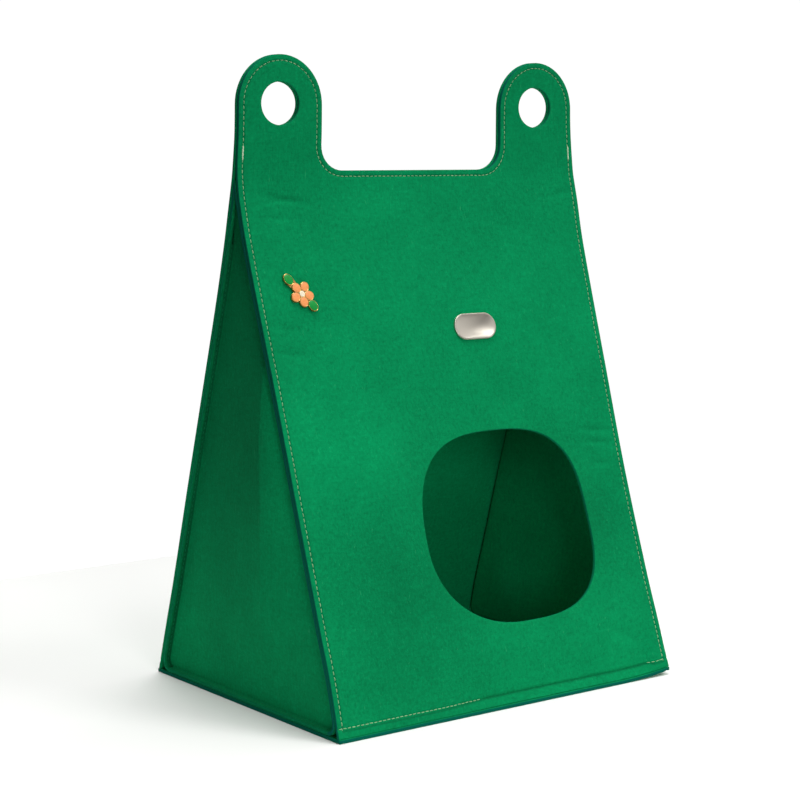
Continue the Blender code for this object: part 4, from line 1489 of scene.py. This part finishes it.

# %% [markdown]
# ## Fitting the pieces to the frame
#
# Everything rides on the one body.  Each felt sheet stands for its CAD solid.

# %% Ride and replace
rides = {
    "front_felt": ("front_panel", "green_felt"),
    "rear_felt": ("rear_panel", "green_felt"),
    "left_gusset_felt": ("left_gusset", "green_felt"),
    "right_gusset_felt": ("right_gusset", "green_felt"),
    "base_felt": ("base_panel", "green_felt"),
    "plain_plate": ("oval_plate", "satin_plate"),
}
for name, (node, slot) in rides.items():
    piece = bpy.data.objects[name]
    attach(piece, "root")
    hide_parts(node)
for row in (front_stitches, rear_stitches, left_stitches, right_stitches, bottom_row, bartacks):
    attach(row, "root")
for wire in wires:
    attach(wire, "root")
for node, drop, tint in drops:
    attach(drop, "root")
    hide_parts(node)

# %% [markdown]
# ## Floor, light and background
#
# A white floor and white walls behind and on the right make a product studio.  The
# main light stands high in front, a little to the right.  The left side stays dark,
# so the left gusset lies in shade; a low light from the front left grazes it and
# brings out its crease.  One light from above whitens the floor.
#
# Little of all this falls in through the entrance.  A very weak light inside the cave
# keeps the felt there a dark green, as in the photo, and not black.

# %% Studio
FLOOR_SIZE = 1.3
LIGHT_DISTANCE = 2.8
# name, turn and rise in degrees, height of its target, size, watts
SOFT_LIGHTS = (
    ("main_light", 30.0, 50.0, 0.25, 0.8, 20.0),
    ("grazing_light", -20.0, 11.0, 0.28, 0.8, 25.0),
    ("top_light", -30.0, 86.0, 0.25, 1.2, 56.0),
)
INSIDE_PLACE, INSIDE_RADIUS, INSIDE_WATTS = (0.03, -0.03, 0.16), 0.06, 0.11
INSIDE_TINT = (1.0, 0.92, 0.84)
WALL_WAY, WALL_REACH = (0.85, 0.5, 0.0), 0.70   # to the white walls, where they begin
DARK_SIDE, WHITE_WALL = 0.08, 1.03

bpy.ops.object.select_all(action="DESELECT")
bpy.ops.mesh.primitive_plane_add(size=FLOOR_SIZE, location=(0.0, 0.0, 0.0))
floor = bpy.context.object
floor.name = "studio_floor"
floor_paper, tree, shader = new_material("matt_white_paper", "#FCFCFA", 0.9)
shader.inputs["Specular IOR Level"].default_value = 0.1
floor.data.materials.append(floor_paper)


def soft_light(name, turn, rise, target_height, size, watts):
    """A square soft light: turn from the front to the right, and rise, in degrees."""
    data = bpy.data.lights.new(name, "AREA")
    data.size = size
    data.energy = watts
    light = bpy.data.objects.new(name, data)
    a, e = math.radians(turn), math.radians(rise)
    way = Vector((math.sin(a) * math.cos(e), -math.cos(a) * math.cos(e), math.sin(e)))
    light.location = Vector((0.0, 0.0, target_height)) + way * LIGHT_DISTANCE
    light.rotation_euler = way.to_track_quat("Z", "Y").to_euler()
    bpy.context.collection.objects.link(light)


for settings in SOFT_LIGHTS:
    soft_light(*settings)

data = bpy.data.lights.new("inside_light", "POINT")
data.shadow_soft_size, data.energy = INSIDE_RADIUS, INSIDE_WATTS
data.color = INSIDE_TINT
inside_light = bpy.data.objects.new("inside_light", data)
inside_light.location = INSIDE_PLACE
inside_light.visible_camera = False
bpy.context.collection.objects.link(inside_light)

world = bpy.data.worlds.new("white_studio")
world.use_nodes = True
tree = world.node_tree
background = tree.nodes["Background"]
background.inputs["Color"].default_value = hex_colour("#FFFFFF")
coords = add_node(tree, "ShaderNodeTexCoord", {})
to_wall = add_node(tree, "ShaderNodeVectorMath", {0: (coords, "Generated"), 1: WALL_WAY},
                   operation="DOT_PRODUCT")
wall = add_node(tree, "ShaderNodeMapRange", {
    "Value": (to_wall, "Value"), "From Min": 0.0, "From Max": WALL_REACH,
    "To Min": DARK_SIDE, "To Max": WHITE_WALL}, interpolation_type="SMOOTHSTEP")
tree.links.new(wall.outputs["Result"], background.inputs["Strength"])
bpy.context.scene.world = world
bpy.context.scene.view_settings.view_transform = "Standard"
